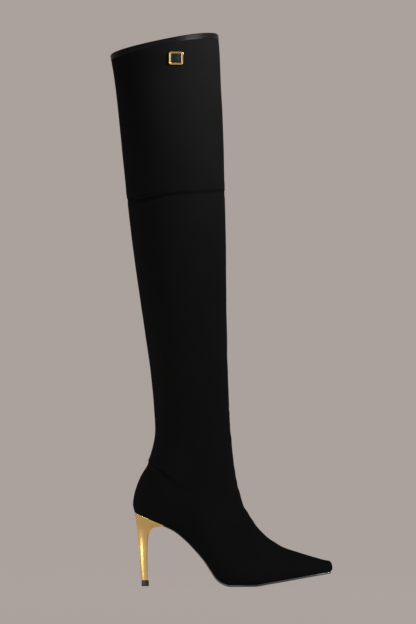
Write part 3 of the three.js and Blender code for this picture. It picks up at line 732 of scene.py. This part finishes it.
def suede_finish(colours):
    """Fine napped suede: near black, mottled where the nap lies differently, soft at grazing light, with painted shade
    in bands along the knee seam and the counter line.
    """
    f = Finish("boot_suede", Specular_IOR_Level=0.012, Sheen_Weight=0.004, Sheen_Roughness=0.25)
    hand = f.cloud(22, 3, 0.5).smooth(0.25, 0.75)
    flecks = f.cloud(520, 3, 0.65, f.stretched(1, 1, 0.55))
    nap = f.cloud(2600, 2, 0.6, f.stretched(1, 1, 0.4))
    # Painted shade: the nap is darkened in a band along the trough of the knee seam, following its bow from back to
    # front.
    knee = shaft_section(KNEE)
    share = (f.along((1, 0, 0)) - knee["base"][0]) * (1 / (knee["depth"] * math.sin(knee["lean"])))
    bow = knee_bow(share, lambda low, high, socket: socket.smooth(low, high))
    seam = abs(f.above(knee["base"], knee["lean"]) + bow + 0.0009).smooth(0.0005, 0.0026)
    # Painted shade: a thin darker line of the nap along the counter line, running out toward its front.
    start, end = Vector((COUNTER_LINE[0][0], 0, COUNTER_LINE[0][1])), Vector((COUNTER_LINE[4][0], 0, COUNTER_LINE[4][1]))
    run = (end - start).normalized()
    across = run.cross(Vector((0, 1, 0)))
    reach = f.along(run) - start.dot(run)
    line = abs(f.along(across) - (start.dot(across) - 0.0006 * math.copysign(1, across.z))).smooth(0.0003, 0.002)
    line = line + reach.smooth(0.45 * (end - start).length, (end - start).length)
    # The nap's random mottle, darkened by the painted shade of the knee seam and the counter line.
    tone = (hand * 0.16 + flecks * 0.42 + nap * 0.42) * (seam * 0.75 + 0.25) * (line.smooth(-0.3, 1))
    f.feed(
        Base_Color=f.blend(tone, shade(colours.suede, 0.5), shade(colours.suede, 1.5)),
        Roughness=hand * 0.06 + 0.9,
        Normal=f.bump(nap * 0.6 + flecks * 0.5, 0.0003, 0.5),
    )
    return f.material


def lining_finish(colours):
    """Smooth knitted lining."""
    f = Finish("boot_lining", Specular_IOR_Level=0.3, Sheen_Weight=0.15, Sheen_Roughness=0.5)
    ribs = f.node(
        "ShaderNodeTexWave",
        {"wave_type": "BANDS", "bands_direction": "Z"},
        {"Vector": f.place, "Scale": 420.0, "Distortion": 0.6, "Detail": 1.0},
    )
    cloud = f.cloud(90, 3)
    f.feed(
        Base_Color=f.blend(cloud, shade(colours.lining, 0.85), shade(colours.lining, 1.2)),
        Roughness=cloud * 0.1 + 0.72,
        Normal=f.bump(ribs, 0.00015, 0.4),
    )
    return f.material


def binding_finish(colours):
    """Half gloss leather strip with a fine grain."""
    f = Finish("boot_binding_leather", Specular_IOR_Level=0.05, Coat_Roughness=0.3)
    grain = f.node("ShaderNodeTexVoronoi", {"feature": "DISTANCE_TO_EDGE"}, {"Vector": f.place, "Scale": 1100.0})
    wear = f.cloud(160, 3)
    f.feed(
        Base_Color=f.blend(wear, shade(colours.binding, 0.8), shade(colours.binding, 1.3)),
        Roughness=wear * 0.1 + 0.34,
        Coat_Weight=wear * 0.02,
        Normal=f.bump(grain.smooth(0, 0.08), 0.00006, 0.35),
    )
    return f.material


def sole_finish(colours):
    """Painted sole leather, faintly grained."""
    f = Finish("boot_sole", Specular_IOR_Level=0.5, Coat_Roughness=0.25)
    grain = f.cloud(900, 3)
    wear = f.cloud(45, 4, 0.6)
    f.feed(
        Base_Color=f.blend(wear, shade(colours.sole, 0.8), shade(colours.sole, 1.25)),
        Roughness=wear * 0.16 + 0.36,
        Coat_Weight=wear * 0.2,
        Normal=f.bump(grain, 0.00008, 0.3),
    )
    return f.material


def edge_finish(colours):
    """Inked and polished edge of the sole."""
    f = Finish("boot_sole_edge", Specular_IOR_Level=0.6, Coat_Roughness=0.12)
    layers = f.cloud(500, 2, 0.5, f.stretched(0.2, 0.2, 3))
    f.feed(
        Base_Color=f.blend(layers, shade(colours.edge, 0.85), shade(colours.edge, 1.2)),
        Roughness=layers * 0.1 + 0.22,
        Coat_Weight=layers * 0.2 + 0.4,
        Normal=f.bump(layers, 0.00005, 0.25),
    )
    return f.material


def insole_finish(colours):
    """Sock leather of the insole."""
    f = Finish("boot_insole_board", Specular_IOR_Level=0.4)
    grain = f.node("ShaderNodeTexVoronoi", {"feature": "DISTANCE_TO_EDGE"}, {"Vector": f.place, "Scale": 700.0})
    wear = f.cloud(70, 3)
    f.feed(
        Base_Color=f.blend(wear, shade(colours.insole, 0.85), shade(colours.insole, 1.2)),
        Roughness=wear * 0.15 + 0.5,
        Normal=f.bump(grain.smooth(0, 0.1), 0.0001, 0.4),
    )
    return f.material


def gold_finish(colours, name, roughness):
    """Satin gold plating with a faint drawn grain."""
    f = Finish(name, Metallic=1.0)
    drawn = f.cloud(1400, 2, 0.5, f.stretched(1, 1, 0.03))
    haze = f.cloud(40, 1)
    f.feed(
        Base_Color=f.blend(haze * 0.7 + drawn * 0.3, shade(colours.gold, 0.97), shade(colours.gold, 1.03)),
        Roughness=haze * 0.04 + drawn * 0.01 + roughness,
    )
    return f.material


def enamel_finish(colours):
    """Black enamel in the plate's field."""
    f = Finish("boot_enamel", Specular_IOR_Level=0.2, Coat_Roughness=0.08)
    cloud = f.cloud(600, 2)
    f.feed(
        Base_Color=f.blend(cloud, shade(colours.enamel, 0.9), shade(colours.enamel, 1.1)),
        Roughness=cloud * 0.06 + 0.16,
        Coat_Weight=cloud * 0.04 + 0.04,
        Normal=f.bump(cloud, 0.00003, 0.3),
    )
    return f.material


def rubber_finish(colours):
    """Hard rubber of the heel tip."""
    f = Finish("boot_tip_rubber", Specular_IOR_Level=0.3)
    grain = f.cloud(2200, 3, 0.6)
    wear = f.cloud(300, 3)
    f.feed(
        Base_Color=f.blend(wear, shade(colours.rubber, 0.4), shade(colours.rubber, 0.8)),
        Roughness=wear * 0.15 + 0.42,
        Normal=f.bump(grain, 0.0001, 0.4),
    )
    return f.material


def backdrop_finish(colours):
    """Matte paper of the backdrop, lit evenly from within."""
    glow = shade(colours.backdrop, 0.99)
    f = Finish("boot_backdrop", Roughness=1.0, Specular_IOR_Level=0.0, Emission_Color=glow, Emission_Strength=1.0)
    fibre = f.cloud(3, 3)
    f.feed(Base_Color=f.blend(fibre, shade(colours.backdrop, 0.03), shade(colours.backdrop, 0.035)))
    return f.material


def finish(name, maker, *arguments):
    """A material by name, made at its first use."""
    return bpy.data.materials.get(name) or maker(bpy.context.scene.boot_colours, *arguments)


class BootSizes(PropertyGroup):
    """Small sizes of the boot's finish."""

    seam_dip: FloatProperty(name="Knee seam depth", default=0.0009, min=0, unit="LENGTH", precision=5)
    seam_reach: FloatProperty(name="Knee seam half width", default=0.0035, min=0.001, unit="LENGTH", precision=5)
    pucker: FloatProperty(name="Pucker height", default=0.00028, min=0, unit="LENGTH", precision=5)
    counter_dip: FloatProperty(name="Counter line depth", default=0.0017, min=0, unit="LENGTH", precision=5)
    crease_dip: FloatProperty(name="Ankle crease depth", default=0.00035, min=0, unit="LENGTH", precision=5)
    long_seam_dip: FloatProperty(name="Front and back seam depth", default=0.0004, min=0, unit="LENGTH", precision=5)
    binding_height: FloatProperty(name="Binding height", default=0.0055, min=0.002, unit="LENGTH", precision=5)
    binding_sink: FloatProperty(name="Suede's dip under the binding", default=0.001, min=0, unit="LENGTH", precision=5)
    binding_thickness: FloatProperty(name="Binding thickness", default=0.0008, min=0.0003, unit="LENGTH", precision=5)
    ornament_rim: FloatProperty(name="Ornament rim width", default=0.0022, min=0.0005, unit="LENGTH", precision=5)


def colour(name, value, description):
    return FloatVectorProperty(
        name=name, description=description, default=value, size=3, min=0, max=1, subtype="COLOR"
    )


class BootColours(PropertyGroup):
    """Colours of the boot's materials and of the stage, as linear values."""

    suede: colour("Suede", (0.0043, 0.0042, 0.0042), "Nap of the upper and the thigh panel")
    lining: colour("Lining", (0.012, 0.012, 0.012), "Inside of the shaft")
    binding: colour("Binding", (0.003, 0.003, 0.0032), "Leather strip round the collar")
    sole: colour("Sole", (0.014, 0.0135, 0.013), "Underside of the outsole")
    edge: colour("Sole edge", (0.02, 0.02, 0.02), "Inked edge of the outsole")
    insole: colour("Insole", (0.02, 0.019, 0.018), "Leather under the foot")
    gold: colour("Gold", (0.95, 0.66, 0.25), "Heel and ornament")
    enamel: colour("Enamel", (0.006, 0.006, 0.0065), "Field of the ornament")
    rubber: colour("Heel tip", (0.02, 0.021, 0.024), "Rubber under the heel")
    backdrop: colour("Backdrop", (0.407, 0.361, 0.337), "Floor and backdrop")


class BOOT_OT_upper(Operator):
    """Foot, counter and shaft up to the knee seam, open underneath"""

    bl_idname = "boot.upper"
    bl_label = "Upper"

    def execute(self, context):
        sizes = context.scene.boot_sizes
        shares = [TOE_START * (1 - k / FOOT_RINGS) ** 1.2 for k in range(FOOT_RINGS + 1)]
        seam_start = level_near(KNEE, -0.03)
        sections = toe_sections()
        first_foot = len(sections)
        sections += [foot_section(along) for along in shares]
        sections += [shaft_section(level) for level in spread(HEEL_RINGS, 0, 1)[1:]]
        sections += [shaft_section(level) for level in spread(LOWER_RINGS, 1, seam_start)[1:]]
        seam_rows = spread(SEAM_RINGS, 0, 1)[1:]
        sections += [
            shaft_section(level_near(KNEE, mix(-0.03, -CLEARANCE / 2, 1 - (1 - share) ** 1.7))) for share in seam_rows
        ]
        sweep = swept([section_ring(s) for s in sections])
        crown = Vector((underside(TOE_START)[0] + TOE_ROUND, 0, 0))
        tip = section_ring(sections[0])
        middle = sum(tip, Vector()) / len(tip)
        sweep.cap(sweep.first, Vector((crown.x, middle.y, middle.z)))
        press(sweep, sizes)
        opening = {
            k + first_foot
            for k, along in enumerate(shares)
            if 0.045 < along < 0.9
        }
        under = [
            face
            for face in sweep.bm.faces
            if all(v[sweep.ring] in opening for v in face.verts)
            and all(min(v[sweep.column], COLUMNS - v[sweep.column]) <= BOTTOM_CELLS - 3 for v in face.verts)
        ]
        bmesh.ops.delete(sweep.bm, geom=under, context="FACES")
        piece = finish_piece(
            sweep.bm,
            "upper_suede",
            "upper",
            [finish("boot_suede", suede_finish), finish("boot_lining", lining_finish)],
        )
        add_wall(piece, UPPER_WALL)
        return {"FINISHED"}


class BOOT_OT_thigh_panel(Operator):
    """Shaft above the knee seam"""

    bl_idname = "boot.thigh_panel"
    bl_label = "Thigh panel"

    def execute(self, context):
        sizes = context.scene.boot_sizes
        top = level_near(COLLAR, -sizes.binding_thickness - CLEARANCE)
        seam_rows = spread(SEAM_RINGS, 0, 1)
        rows = [level_near(KNEE, mix(CLEARANCE / 2, 0.03, share**1.7)) for share in seam_rows]
        rows += spread(THIGH_RINGS, rows[-1], level_near(COLLAR, -0.012))[1:]
        rows += spread(12, rows[-1], top)[1:]
        sweep = swept([section_ring(shaft_section(level)) for level in rows])
        press(sweep, sizes)
        piece = finish_piece(
            sweep.bm,
            "thigh_panel_suede",
            "thigh_panel",
            [finish("boot_suede", suede_finish), finish("boot_lining", lining_finish)],
        )
        add_wall(piece, UPPER_WALL)
        return {"FINISHED"}


def collar_frames(sizes):
    """Places round the collar's edge, each with the way up and the way out."""
    top = level_near(COLLAR, -0.0008 - CLEARANCE)
    edge = section_ring(shaft_section(top))
    below = section_ring(shaft_section(level_near(top, -0.01)))
    found = []
    for j, point in enumerate(edge):
        rise = (point - below[j]).normalized()
        run = edge[(j + 1) % COLUMNS] - edge[j - 1]
        out = rise.cross(run).normalized()
        found.append((point - out * sizes.binding_sink, rise, out))
    return found


def binding_profile(sizes):
    """Closed loop of the folded strip, as pairs of distance outwards and height above the suede's edge."""
    t, height, wall = sizes.binding_thickness, sizes.binding_height, UPPER_WALL
    lap = CLEARANCE
    fold = []
    steps = 10
    radius = (wall + 2 * lap + 2 * t) / 2
    for k in range(steps + 1):
        angle = math.pi * k / steps
        fold.append((radius * math.cos(angle) - wall / 2, 0.85 * radius * math.sin(angle)))
    outer_right = fold[0][0]
    outer = [
        (lap * 0.3, -height + 0.0001),
        (lap + 0.35 * t, -height - 0.00005),
        (lap + 0.85 * t, -height + 0.00018),
        (lap + 1.12 * t, -height + 0.00055),
        (lap + 1.1 * t, -height + 0.0011),
        (lap + 0.98 * t, -height + 0.0018),
        (lap + 0.98 * t, -0.55 * height),
        (lap + 1.05 * t, -0.3 * height),
        (outer_right, -0.08 * height),
    ]
    inner_left = fold[-1][0]
    inner = [
        (inner_left, -0.1 * height),
        (inner_left, -0.5 * height),
        (inner_left + 0.1 * t, -height + 0.0006),
        (inner_left + 0.5 * t, -height + 0.0001),
        (-wall - 0.3 * lap, -height + 0.0002),
        (-wall - 0.3 * lap, -0.5 * height),
        (-wall - 0.5 * lap, 0.3 * lap),
        (0.2 * lap, 0.3 * lap),
        (0.3 * lap, -0.5 * height),
    ]
    return outer + fold + inner


class BOOT_OT_collar_binding(Operator):
    """Leather strip folded over the collar's edge"""

    bl_idname = "boot.collar_binding"
    bl_label = "Collar binding"

    def execute(self, context):
        sizes = context.scene.boot_sizes
        profile = binding_profile(sizes)
        rings = []
        for point, rise, out in collar_frames(sizes):
            rings.append([point + out * side + rise * height for side, height in profile])
        sweep = swept([*rings, rings[0]]).join_ends()
        finish_piece(
            sweep.bm, "collar_binding_leather", "collar_binding", [finish("boot_binding_leather", binding_finish)]
        )
        return {"FINISHED"}


SOLE_END = 0.991
INSOLE_END = 0.95
BREAST = SEAT_LENGTH / FOOT_LENGTH


def layer_loop(along, half, low, thickness, edge, cells=12, narrow=1.0):
    """Cross loop of a sole layer with rounded edges, from the middle of its underside round the inner side."""
    half = max(half * narrow, 0.0004)
    edge = min(edge, 0.49 * thickness, 0.49 * half)
    corner = [(edge * math.sin(math.pi / 2 * k / 4), edge * (1 - math.cos(math.pi / 2 * k / 4))) for k in range(5)]
    flat = half - edge
    bottom = [(flat * k / cells, 0.0) for k in range(cells)]
    side = [(flat + out, up) for out, up in corner]
    above = [(y, thickness - z) for y, z in reversed(side)]
    top = [(y, thickness) for y, _ in reversed(bottom[1:])]
    inner = bottom + side + above + top
    outer = [(-y, z) for y, z in reversed(inner)]
    outer = outer[:-1]
    loop = inner + [(0.0, thickness)] + outer
    middle = seat_offset(along)
    found = []
    for y, z in loop:
        px, pz = above_ground(along, low + z)
        found.append(Vector((px, middle + y, pz)))
    return found


def sole_stations(start, end, count):
    return spread(count, start, end)


class BOOT_OT_outsole(Operator):
    """Thin sole from the heel to the toe"""

    bl_idname = "boot.outsole"
    bl_label = "Outsole"

    def execute(self, context):
        cap = 0.016
        stations = spread(110, BREAST + CLEARANCE / FOOT_LENGTH, SOLE_END - cap)
        stations += [SOLE_END - cap * (1 - math.sin(math.pi / 2 * k / 8)) for k in range(1, 9)]
        rings = []
        for along in stations:
            q = clamp((along - SOLE_END + cap) / cap)
            narrow = max(1 - q**2.4, 0.02) ** (1 / 2.4)
            half = seat_half(along) + mix(-WAIST_TUCK, SOLE_EDGE, forward_of_waist(along))
            rings.append(layer_loop(along, half, 0.0, sole_thickness(along), 0.0007, narrow=narrow))
        sweep = swept(rings)
        side = {v for v in sweep.bm.verts if 12 <= v[sweep.column] <= 21 or v[sweep.column] >= len(rings[0]) - 21}
        for face in sweep.bm.faces:
            face.material_index = 1 if all(v in side for v in face.verts) else 0
        sweep.cap(sweep.first)
        sweep.cap(sweep.last)
        finish_piece(
            sweep.bm, "outsole_leather", "outsole", [finish("boot_sole", sole_finish), finish("boot_sole_edge", edge_finish)]
        )
        return {"FINISHED"}


class BOOT_OT_insole(Operator):
    """Board under the foot"""

    bl_idname = "boot.insole"
    bl_label = "Insole"

    def execute(self, context):
        rear = (UPPER_WALL + 5 * CLEARANCE) / FOOT_LENGTH
        stations = [mix(rear, INSOLE_END, (k / 110) ** 1.2) for k in range(111)]
        rings = []
        for along in stations:
            half = seat_half(along, UPPER_WALL + 2 * CLEARANCE)
            low = sole_thickness(along) + 1.5 * CLEARANCE + UPPER_WALL
            rings.append(layer_loop(along, half, low, INSOLE_THICKNESS, 0.0006))
        sweep = swept(rings)
        sweep.cap(sweep.first)
        sweep.cap(sweep.last)
        finish_piece(sweep.bm, "insole_leather", "insole", [finish("boot_insole_board", insole_finish)])
        return {"FINISHED"}


TIP_LOW, TIP_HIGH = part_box("heel_tip")
TIP_LENGTH = TIP_HIGH.x - TIP_LOW.x
TIP_WIDTH = TIP_HIGH.y - TIP_LOW.y
TIP_HEIGHT = TIP_HIGH.z - TIP_LOW.z


def heel_outline(count=72):
    """Unit outline of the heel: round behind, flat in front with rounded corners, as pairs of share forward and side."""
    fine = []
    for k in range(241):
        angle = math.pi / 2 * k / 240
        share = 1 - math.cos(angle)
        corner = max(0.0, 1 - clamp(share) ** 9) ** (1 / 3.0)
        fine.append((share, math.sin(angle) * mix(0.72, 1, corner)))
    fine.append((1.0, 0.0))
    half = along_line(fine, [line_length(fine) * k / (count // 2) for k in range(count // 2 + 1)])
    return half + [(share, -side) for share, side in half[-2:0:-1]]


class BOOT_OT_heel(Operator):
    """Slim heel with its seat"""

    bl_idname = "boot.heel"
    bl_label = "Heel"

    def execute(self, context):
        outline = heel_outline()
        foot_height = TIP_HEIGHT + CLEARANCE
        back_x = TIP_LOW.x
        front_x = back_x + TIP_LENGTH * HEEL_END_SHARE
        seat_back = above_ground(0, WAIST_THICKNESS)
        seat_front = above_ground(BREAST, 0)
        rings = []
        for step in spread(70, 0, 0.94):
            row = {name: heel_loops.read(name, step) for name in HEEL_COLUMNS}
            half = mix(HEEL_END_WIDTH / 2, seat_half(BREAST), row["half"])
            back = (mix(back_x, seat_back[0], row["back"]), mix(foot_height, seat_back[1], row["rise"]))
            front = (mix(front_x, seat_front[0], row["front"]), mix(foot_height, seat_front[1], row["lift"]))
            rings.append(
                [
                    Vector((mix(back[0], front[0], share), half * side, mix(back[1], front[1], share)))
                    for share, side in outline
                ]
            )
        for depth, inward in LIP_RINGS:
            ring = []
            for share, side in outline:
                along = mix(inward / FOOT_LENGTH, BREAST, share)
                x, z = above_ground(along, WAIST_THICKNESS - depth)
                half = seat_half(along, inward)
                turn = 1 if side > 0 else -1 if side < 0 else 0
                edge = clamp(abs(side) / 0.72) if share > 0.98 else 1
                ring.append(Vector((x, turn * half * edge, z)))
            rings.append(ring)
        sweep = swept(rings)
        sweep.cap(sweep.first)
        sweep.cap(sweep.last)
        finish_piece(sweep.bm, "heel_gold", "heel", [finish("boot_gold_metal", gold_finish, "boot_gold_metal", 0.2)])
        return {"FINISHED"}


class BOOT_OT_heel_tip(Operator):
    """Rubber under the heel"""

    bl_idname = "boot.heel_tip"
    bl_label = "Heel tip"

    def execute(self, context):
        outline = heel_outline(56)
        round_off = 0.0004
        rings = []
        for height, inward in (
            (0.0, round_off),
            (0.3 * round_off, 0.3 * round_off),
            (round_off, 0.0),
            (0.5 * TIP_HEIGHT, 0.0),
            (TIP_HEIGHT - round_off, 0.0),
            (TIP_HEIGHT - 0.3 * round_off, 0.3 * round_off),
            (TIP_HEIGHT, round_off),
        ):
            length = TIP_LENGTH - 2 * inward
            half = TIP_WIDTH / 2 - inward
            rings.append(
                [Vector((TIP_LOW.x + inward + share * length, side * half, height)) for share, side in outline]
            )
        sweep = swept(rings)
        sweep.cap(sweep.first)
        sweep.cap(sweep.last)
        finish_piece(sweep.bm, "heel_tip_rubber", "heel_tip", [finish("boot_tip_rubber", rubber_finish)])
        return {"FINISHED"}


def outer_side(level, forward):
    """Point on the outer side of the shaft, and the way out of it."""

    def place(at, share):
        s = shaft_section(at)
        rise = mix(s["widest"] * s["depth"], s["depth"], share)
        return Vector(
            (
                s["base"][0] + rise * math.sin(s["lean"]),
                -s["half"] * math.sqrt(1 - share * share),
                s["base"][1] + rise * math.cos(s["lean"]),
            )
        )

    step = 0.01
    point = place(level, forward)
    along = place(level, forward + step) - point
    up = place(level + step, forward) - point
    return point, along.cross(up).normalized()


class BOOT_OT_ornament(Operator):
    """Plain gold plate with a raised rim"""

    bl_idname = "boot.ornament"
    bl_label = "Ornament"

    def execute(self, context):
        sizes = context.scene.boot_sizes
        width, height, thickness = 0.0166, 0.0154, 0.0014
        bm = bmesh.new()
        bmesh.ops.create_grid(bm, x_segments=1, y_segments=1, size=0.5)
        bmesh.ops.scale(bm, vec=(width, height, 1), verts=bm.verts)
        bevel = {"profile": 0.5, "material": -1}
        bmesh.ops.bevel(bm, geom=bm.verts[:], offset=0.0026, segments=8, affect="VERTICES", **bevel)
        base = bm.faces[:]
        raised = bmesh.ops.extrude_face_region(bm, geom=base)["geom"]
        bmesh.ops.translate(bm, vec=(0, 0, thickness), verts=[e for e in raised if isinstance(e, bmesh.types.BMVert)])
        top = [e for e in raised if isinstance(e, bmesh.types.BMFace)]
        bmesh.ops.inset_region(bm, faces=top, thickness=sizes.ornament_rim, use_even_offset=True)
        sunk = bmesh.ops.extrude_face_region(bm, geom=top)["geom"]
        bmesh.ops.delete(bm, geom=top, context="FACES_ONLY")
        for face in sunk:
            if isinstance(face, bmesh.types.BMFace):
                face.material_index = 1
        bmesh.ops.translate(
            bm, vec=(0, 0, -0.55 * thickness), verts=[e for e in sunk if isinstance(e, bmesh.types.BMVert)]
        )
        edges = [e for e in bm.edges if len(e.link_faces) == 2 and e.calc_face_angle() > 0.8]
        bmesh.ops.bevel(bm, geom=edges, offset=0.00028, segments=3, affect="EDGES", **bevel)
        bmesh.ops.recalc_face_normals(bm, faces=bm.faces)
        point, out = outer_side(level_near(COLLAR, -ORNAMENT_DROP), ORNAMENT_FORWARD)
        up = (Vector((0, 0, 1)) - out * out.z).normalized()
        side = up.cross(out)
        turn = Matrix((side, up, out)).transposed().to_4x4()
        bmesh.ops.transform(bm, matrix=Matrix.Translation(point + out * CLEARANCE) @ turn, verts=bm.verts)
        polished = finish("boot_gold_polished", gold_finish, "boot_gold_polished", 0.14)
        finish_piece(bm, "ornament_plate", "ornament", [polished, finish("boot_enamel", enamel_finish)])
        return {"FINISHED"}


CAMERA_DISTANCE = 4.08
CAMERA_HEIGHT = 0.12
VIEW_MIDDLE = (0.07375, 0.3223)
VIEW_HEIGHT = 0.7348
SENSOR = 36.0


class BOOT_OT_stage(Operator):
    """Floor, backdrop, lights and camera"""

    bl_idname = "boot.stage"
    bl_label = "Stage"

    def execute(self, context):
        scene = context.scene
        self.backdrop(scene)
        self.camera(scene)
        light(scene, "top_softbox", (0.34, -0.26, 0.78), (0.07, -0.03, 0.65), (0.2, 0.16), 0.85, 1.3)
        light(scene, "toe_softbox", (1.15, -0.5, 0.42), (0.14, 0, 0.06), (0.4, 0.5), 13)
        light(scene, "back_strip", (-1.0, 0.35, 0.2), (0, 0, 0.1), (0.12, 0.5), 1.2)
        light(scene, "side_strip", (-1.1, -0.68, 0.12), (0, 0, 0.05), (0.75, 0.5), 2.2, 1.2)
        light(scene, "front_softbox", (-0.9, -2.9, 0.3), (0.0, 0, 0.12), (3.2, 1.8), 19)
        self.world(scene)
        scene.view_settings.view_transform = "Standard"
        return {"FINISHED"}

    def world(self, scene):
        """Dim studio, seen by the camera in the tone of the backdrop."""
        world = bpy.data.worlds.new("studio")
        world.use_nodes = True
        tree = world.node_tree
        background = next(n for n in tree.nodes if n.type == "BACKGROUND")
        rays = tree.nodes.new("ShaderNodeLightPath")
        tone = tree.nodes.new("ShaderNodeMix")
        tone.data_type = "RGBA"
        tone.inputs[6].default_value = (0.16, 0.155, 0.15, 1)
        tone.inputs[7].default_value = (*scene.boot_colours.backdrop, 1)
        tree.links.new(rays.outputs["Is Camera Ray"], tone.inputs[0])
        tree.links.new(tone.outputs[2], background.inputs["Color"])
        scene.world = world

    def backdrop(self, scene):
        bm = bmesh.new()
        bmesh.ops.create_grid(bm, x_segments=1, y_segments=1, size=0.5)
        bmesh.ops.scale(bm, vec=(16, 12, 1), verts=bm.verts)
        bmesh.ops.translate(bm, vec=(0, -1, 0), verts=bm.verts)
        far = [e for e in bm.edges if all(v.co.y > 4.9 for v in e.verts)]
        made = bmesh.ops.extrude_edge_only(bm, edges=far)["geom"]
        bmesh.ops.translate(bm, vec=(0, 0, 7), verts=[v for v in made if isinstance(v, bmesh.types.BMVert)])
        bmesh.ops.bevel(bm, geom=far, offset=3.0, segments=24, profile=0.5, affect="EDGES", material=-1)
        for face in bm.faces:
            face.smooth = True
        mesh = bpy.data.meshes.new("backdrop")
        bm.to_mesh(mesh)
        bm.free()
        mesh.materials.append(finish("boot_backdrop", backdrop_finish))
        backdrop = bpy.data.objects.new("backdrop", mesh)
        scene.collection.objects.link(backdrop)

    def camera(self, scene):
        data = bpy.data.cameras.new("camera")
        data.sensor_width = SENSOR
        data.lens = SENSOR * CAMERA_DISTANCE / VIEW_HEIGHT
        data.clip_start = 0.05
        data.clip_end = 60
        camera = bpy.data.objects.new("camera", data)
        place = Vector((VIEW_MIDDLE[0], -CAMERA_DISTANCE, CAMERA_HEIGHT))
        aim = Vector((VIEW_MIDDLE[0], 0, VIEW_MIDDLE[1]))
        camera.location = place
        camera.rotation_euler = (aim - place).to_track_quat("-Z", "Y").to_euler()
        scene.collection.objects.link(camera)
        scene.camera = camera


def light(scene, name, place, aim, size, power, spread=math.pi):
    data = bpy.data.lights.new(name, "AREA")
    data.shape = "RECTANGLE"
    data.size, data.size_y = size
    data.energy = power
    data.spread = spread
    lamp = bpy.data.objects.new(name, data)
    lamp.location = place
    lamp.visible_camera = False
    lamp.rotation_euler = (Vector(aim) - Vector(place)).to_track_quat("-Z", "Y").to_euler()
    scene.collection.objects.link(lamp)


class BOOT_PT_pieces(Panel):
    """Pieces of the boot, each with its operator"""

    bl_idname = "BOOT_PT_pieces"
    bl_label = "Thigh high boot"
    bl_space_type = "VIEW_3D"
    bl_region_type = "UI"
    bl_category = "Boot"

    def draw(self, context):
        for group in (context.scene.boot_sizes, context.scene.boot_colours):
            column = self.layout.column(align=True)
            for name in group.__annotations__:
                column.prop(group, name)
        column = self.layout.column(align=True)
        for piece in PIECES:
            column.operator(piece.bl_idname)


PIECES = (
    BOOT_OT_upper,
    BOOT_OT_thigh_panel,
    BOOT_OT_collar_binding,
    BOOT_OT_outsole,
    BOOT_OT_insole,
    BOOT_OT_heel,
    BOOT_OT_heel_tip,
    BOOT_OT_ornament,
    BOOT_OT_stage,
)
CLASSES = (BootSizes, BootColours, *PIECES, BOOT_PT_pieces)


def register():
    for kind in CLASSES:
        bpy.utils.register_class(kind)
    bpy.types.Scene.boot_sizes = PointerProperty(type=BootSizes)
    bpy.types.Scene.boot_colours = PointerProperty(type=BootColours)


def unregister():
    del bpy.types.Scene.boot_colours
    del bpy.types.Scene.boot_sizes
    for kind in reversed(CLASSES):
        bpy.utils.unregister_class(kind)


def main():
    register()
    bpy.ops.boot.upper()
    bpy.ops.boot.thigh_panel()
    bpy.ops.boot.collar_binding()
    bpy.ops.boot.outsole()
    bpy.ops.boot.insole()
    bpy.ops.boot.heel()
    bpy.ops.boot.heel_tip()
    bpy.ops.boot.ornament()
    bpy.ops.boot.stage()


if __name__ == "__main__":
    main()
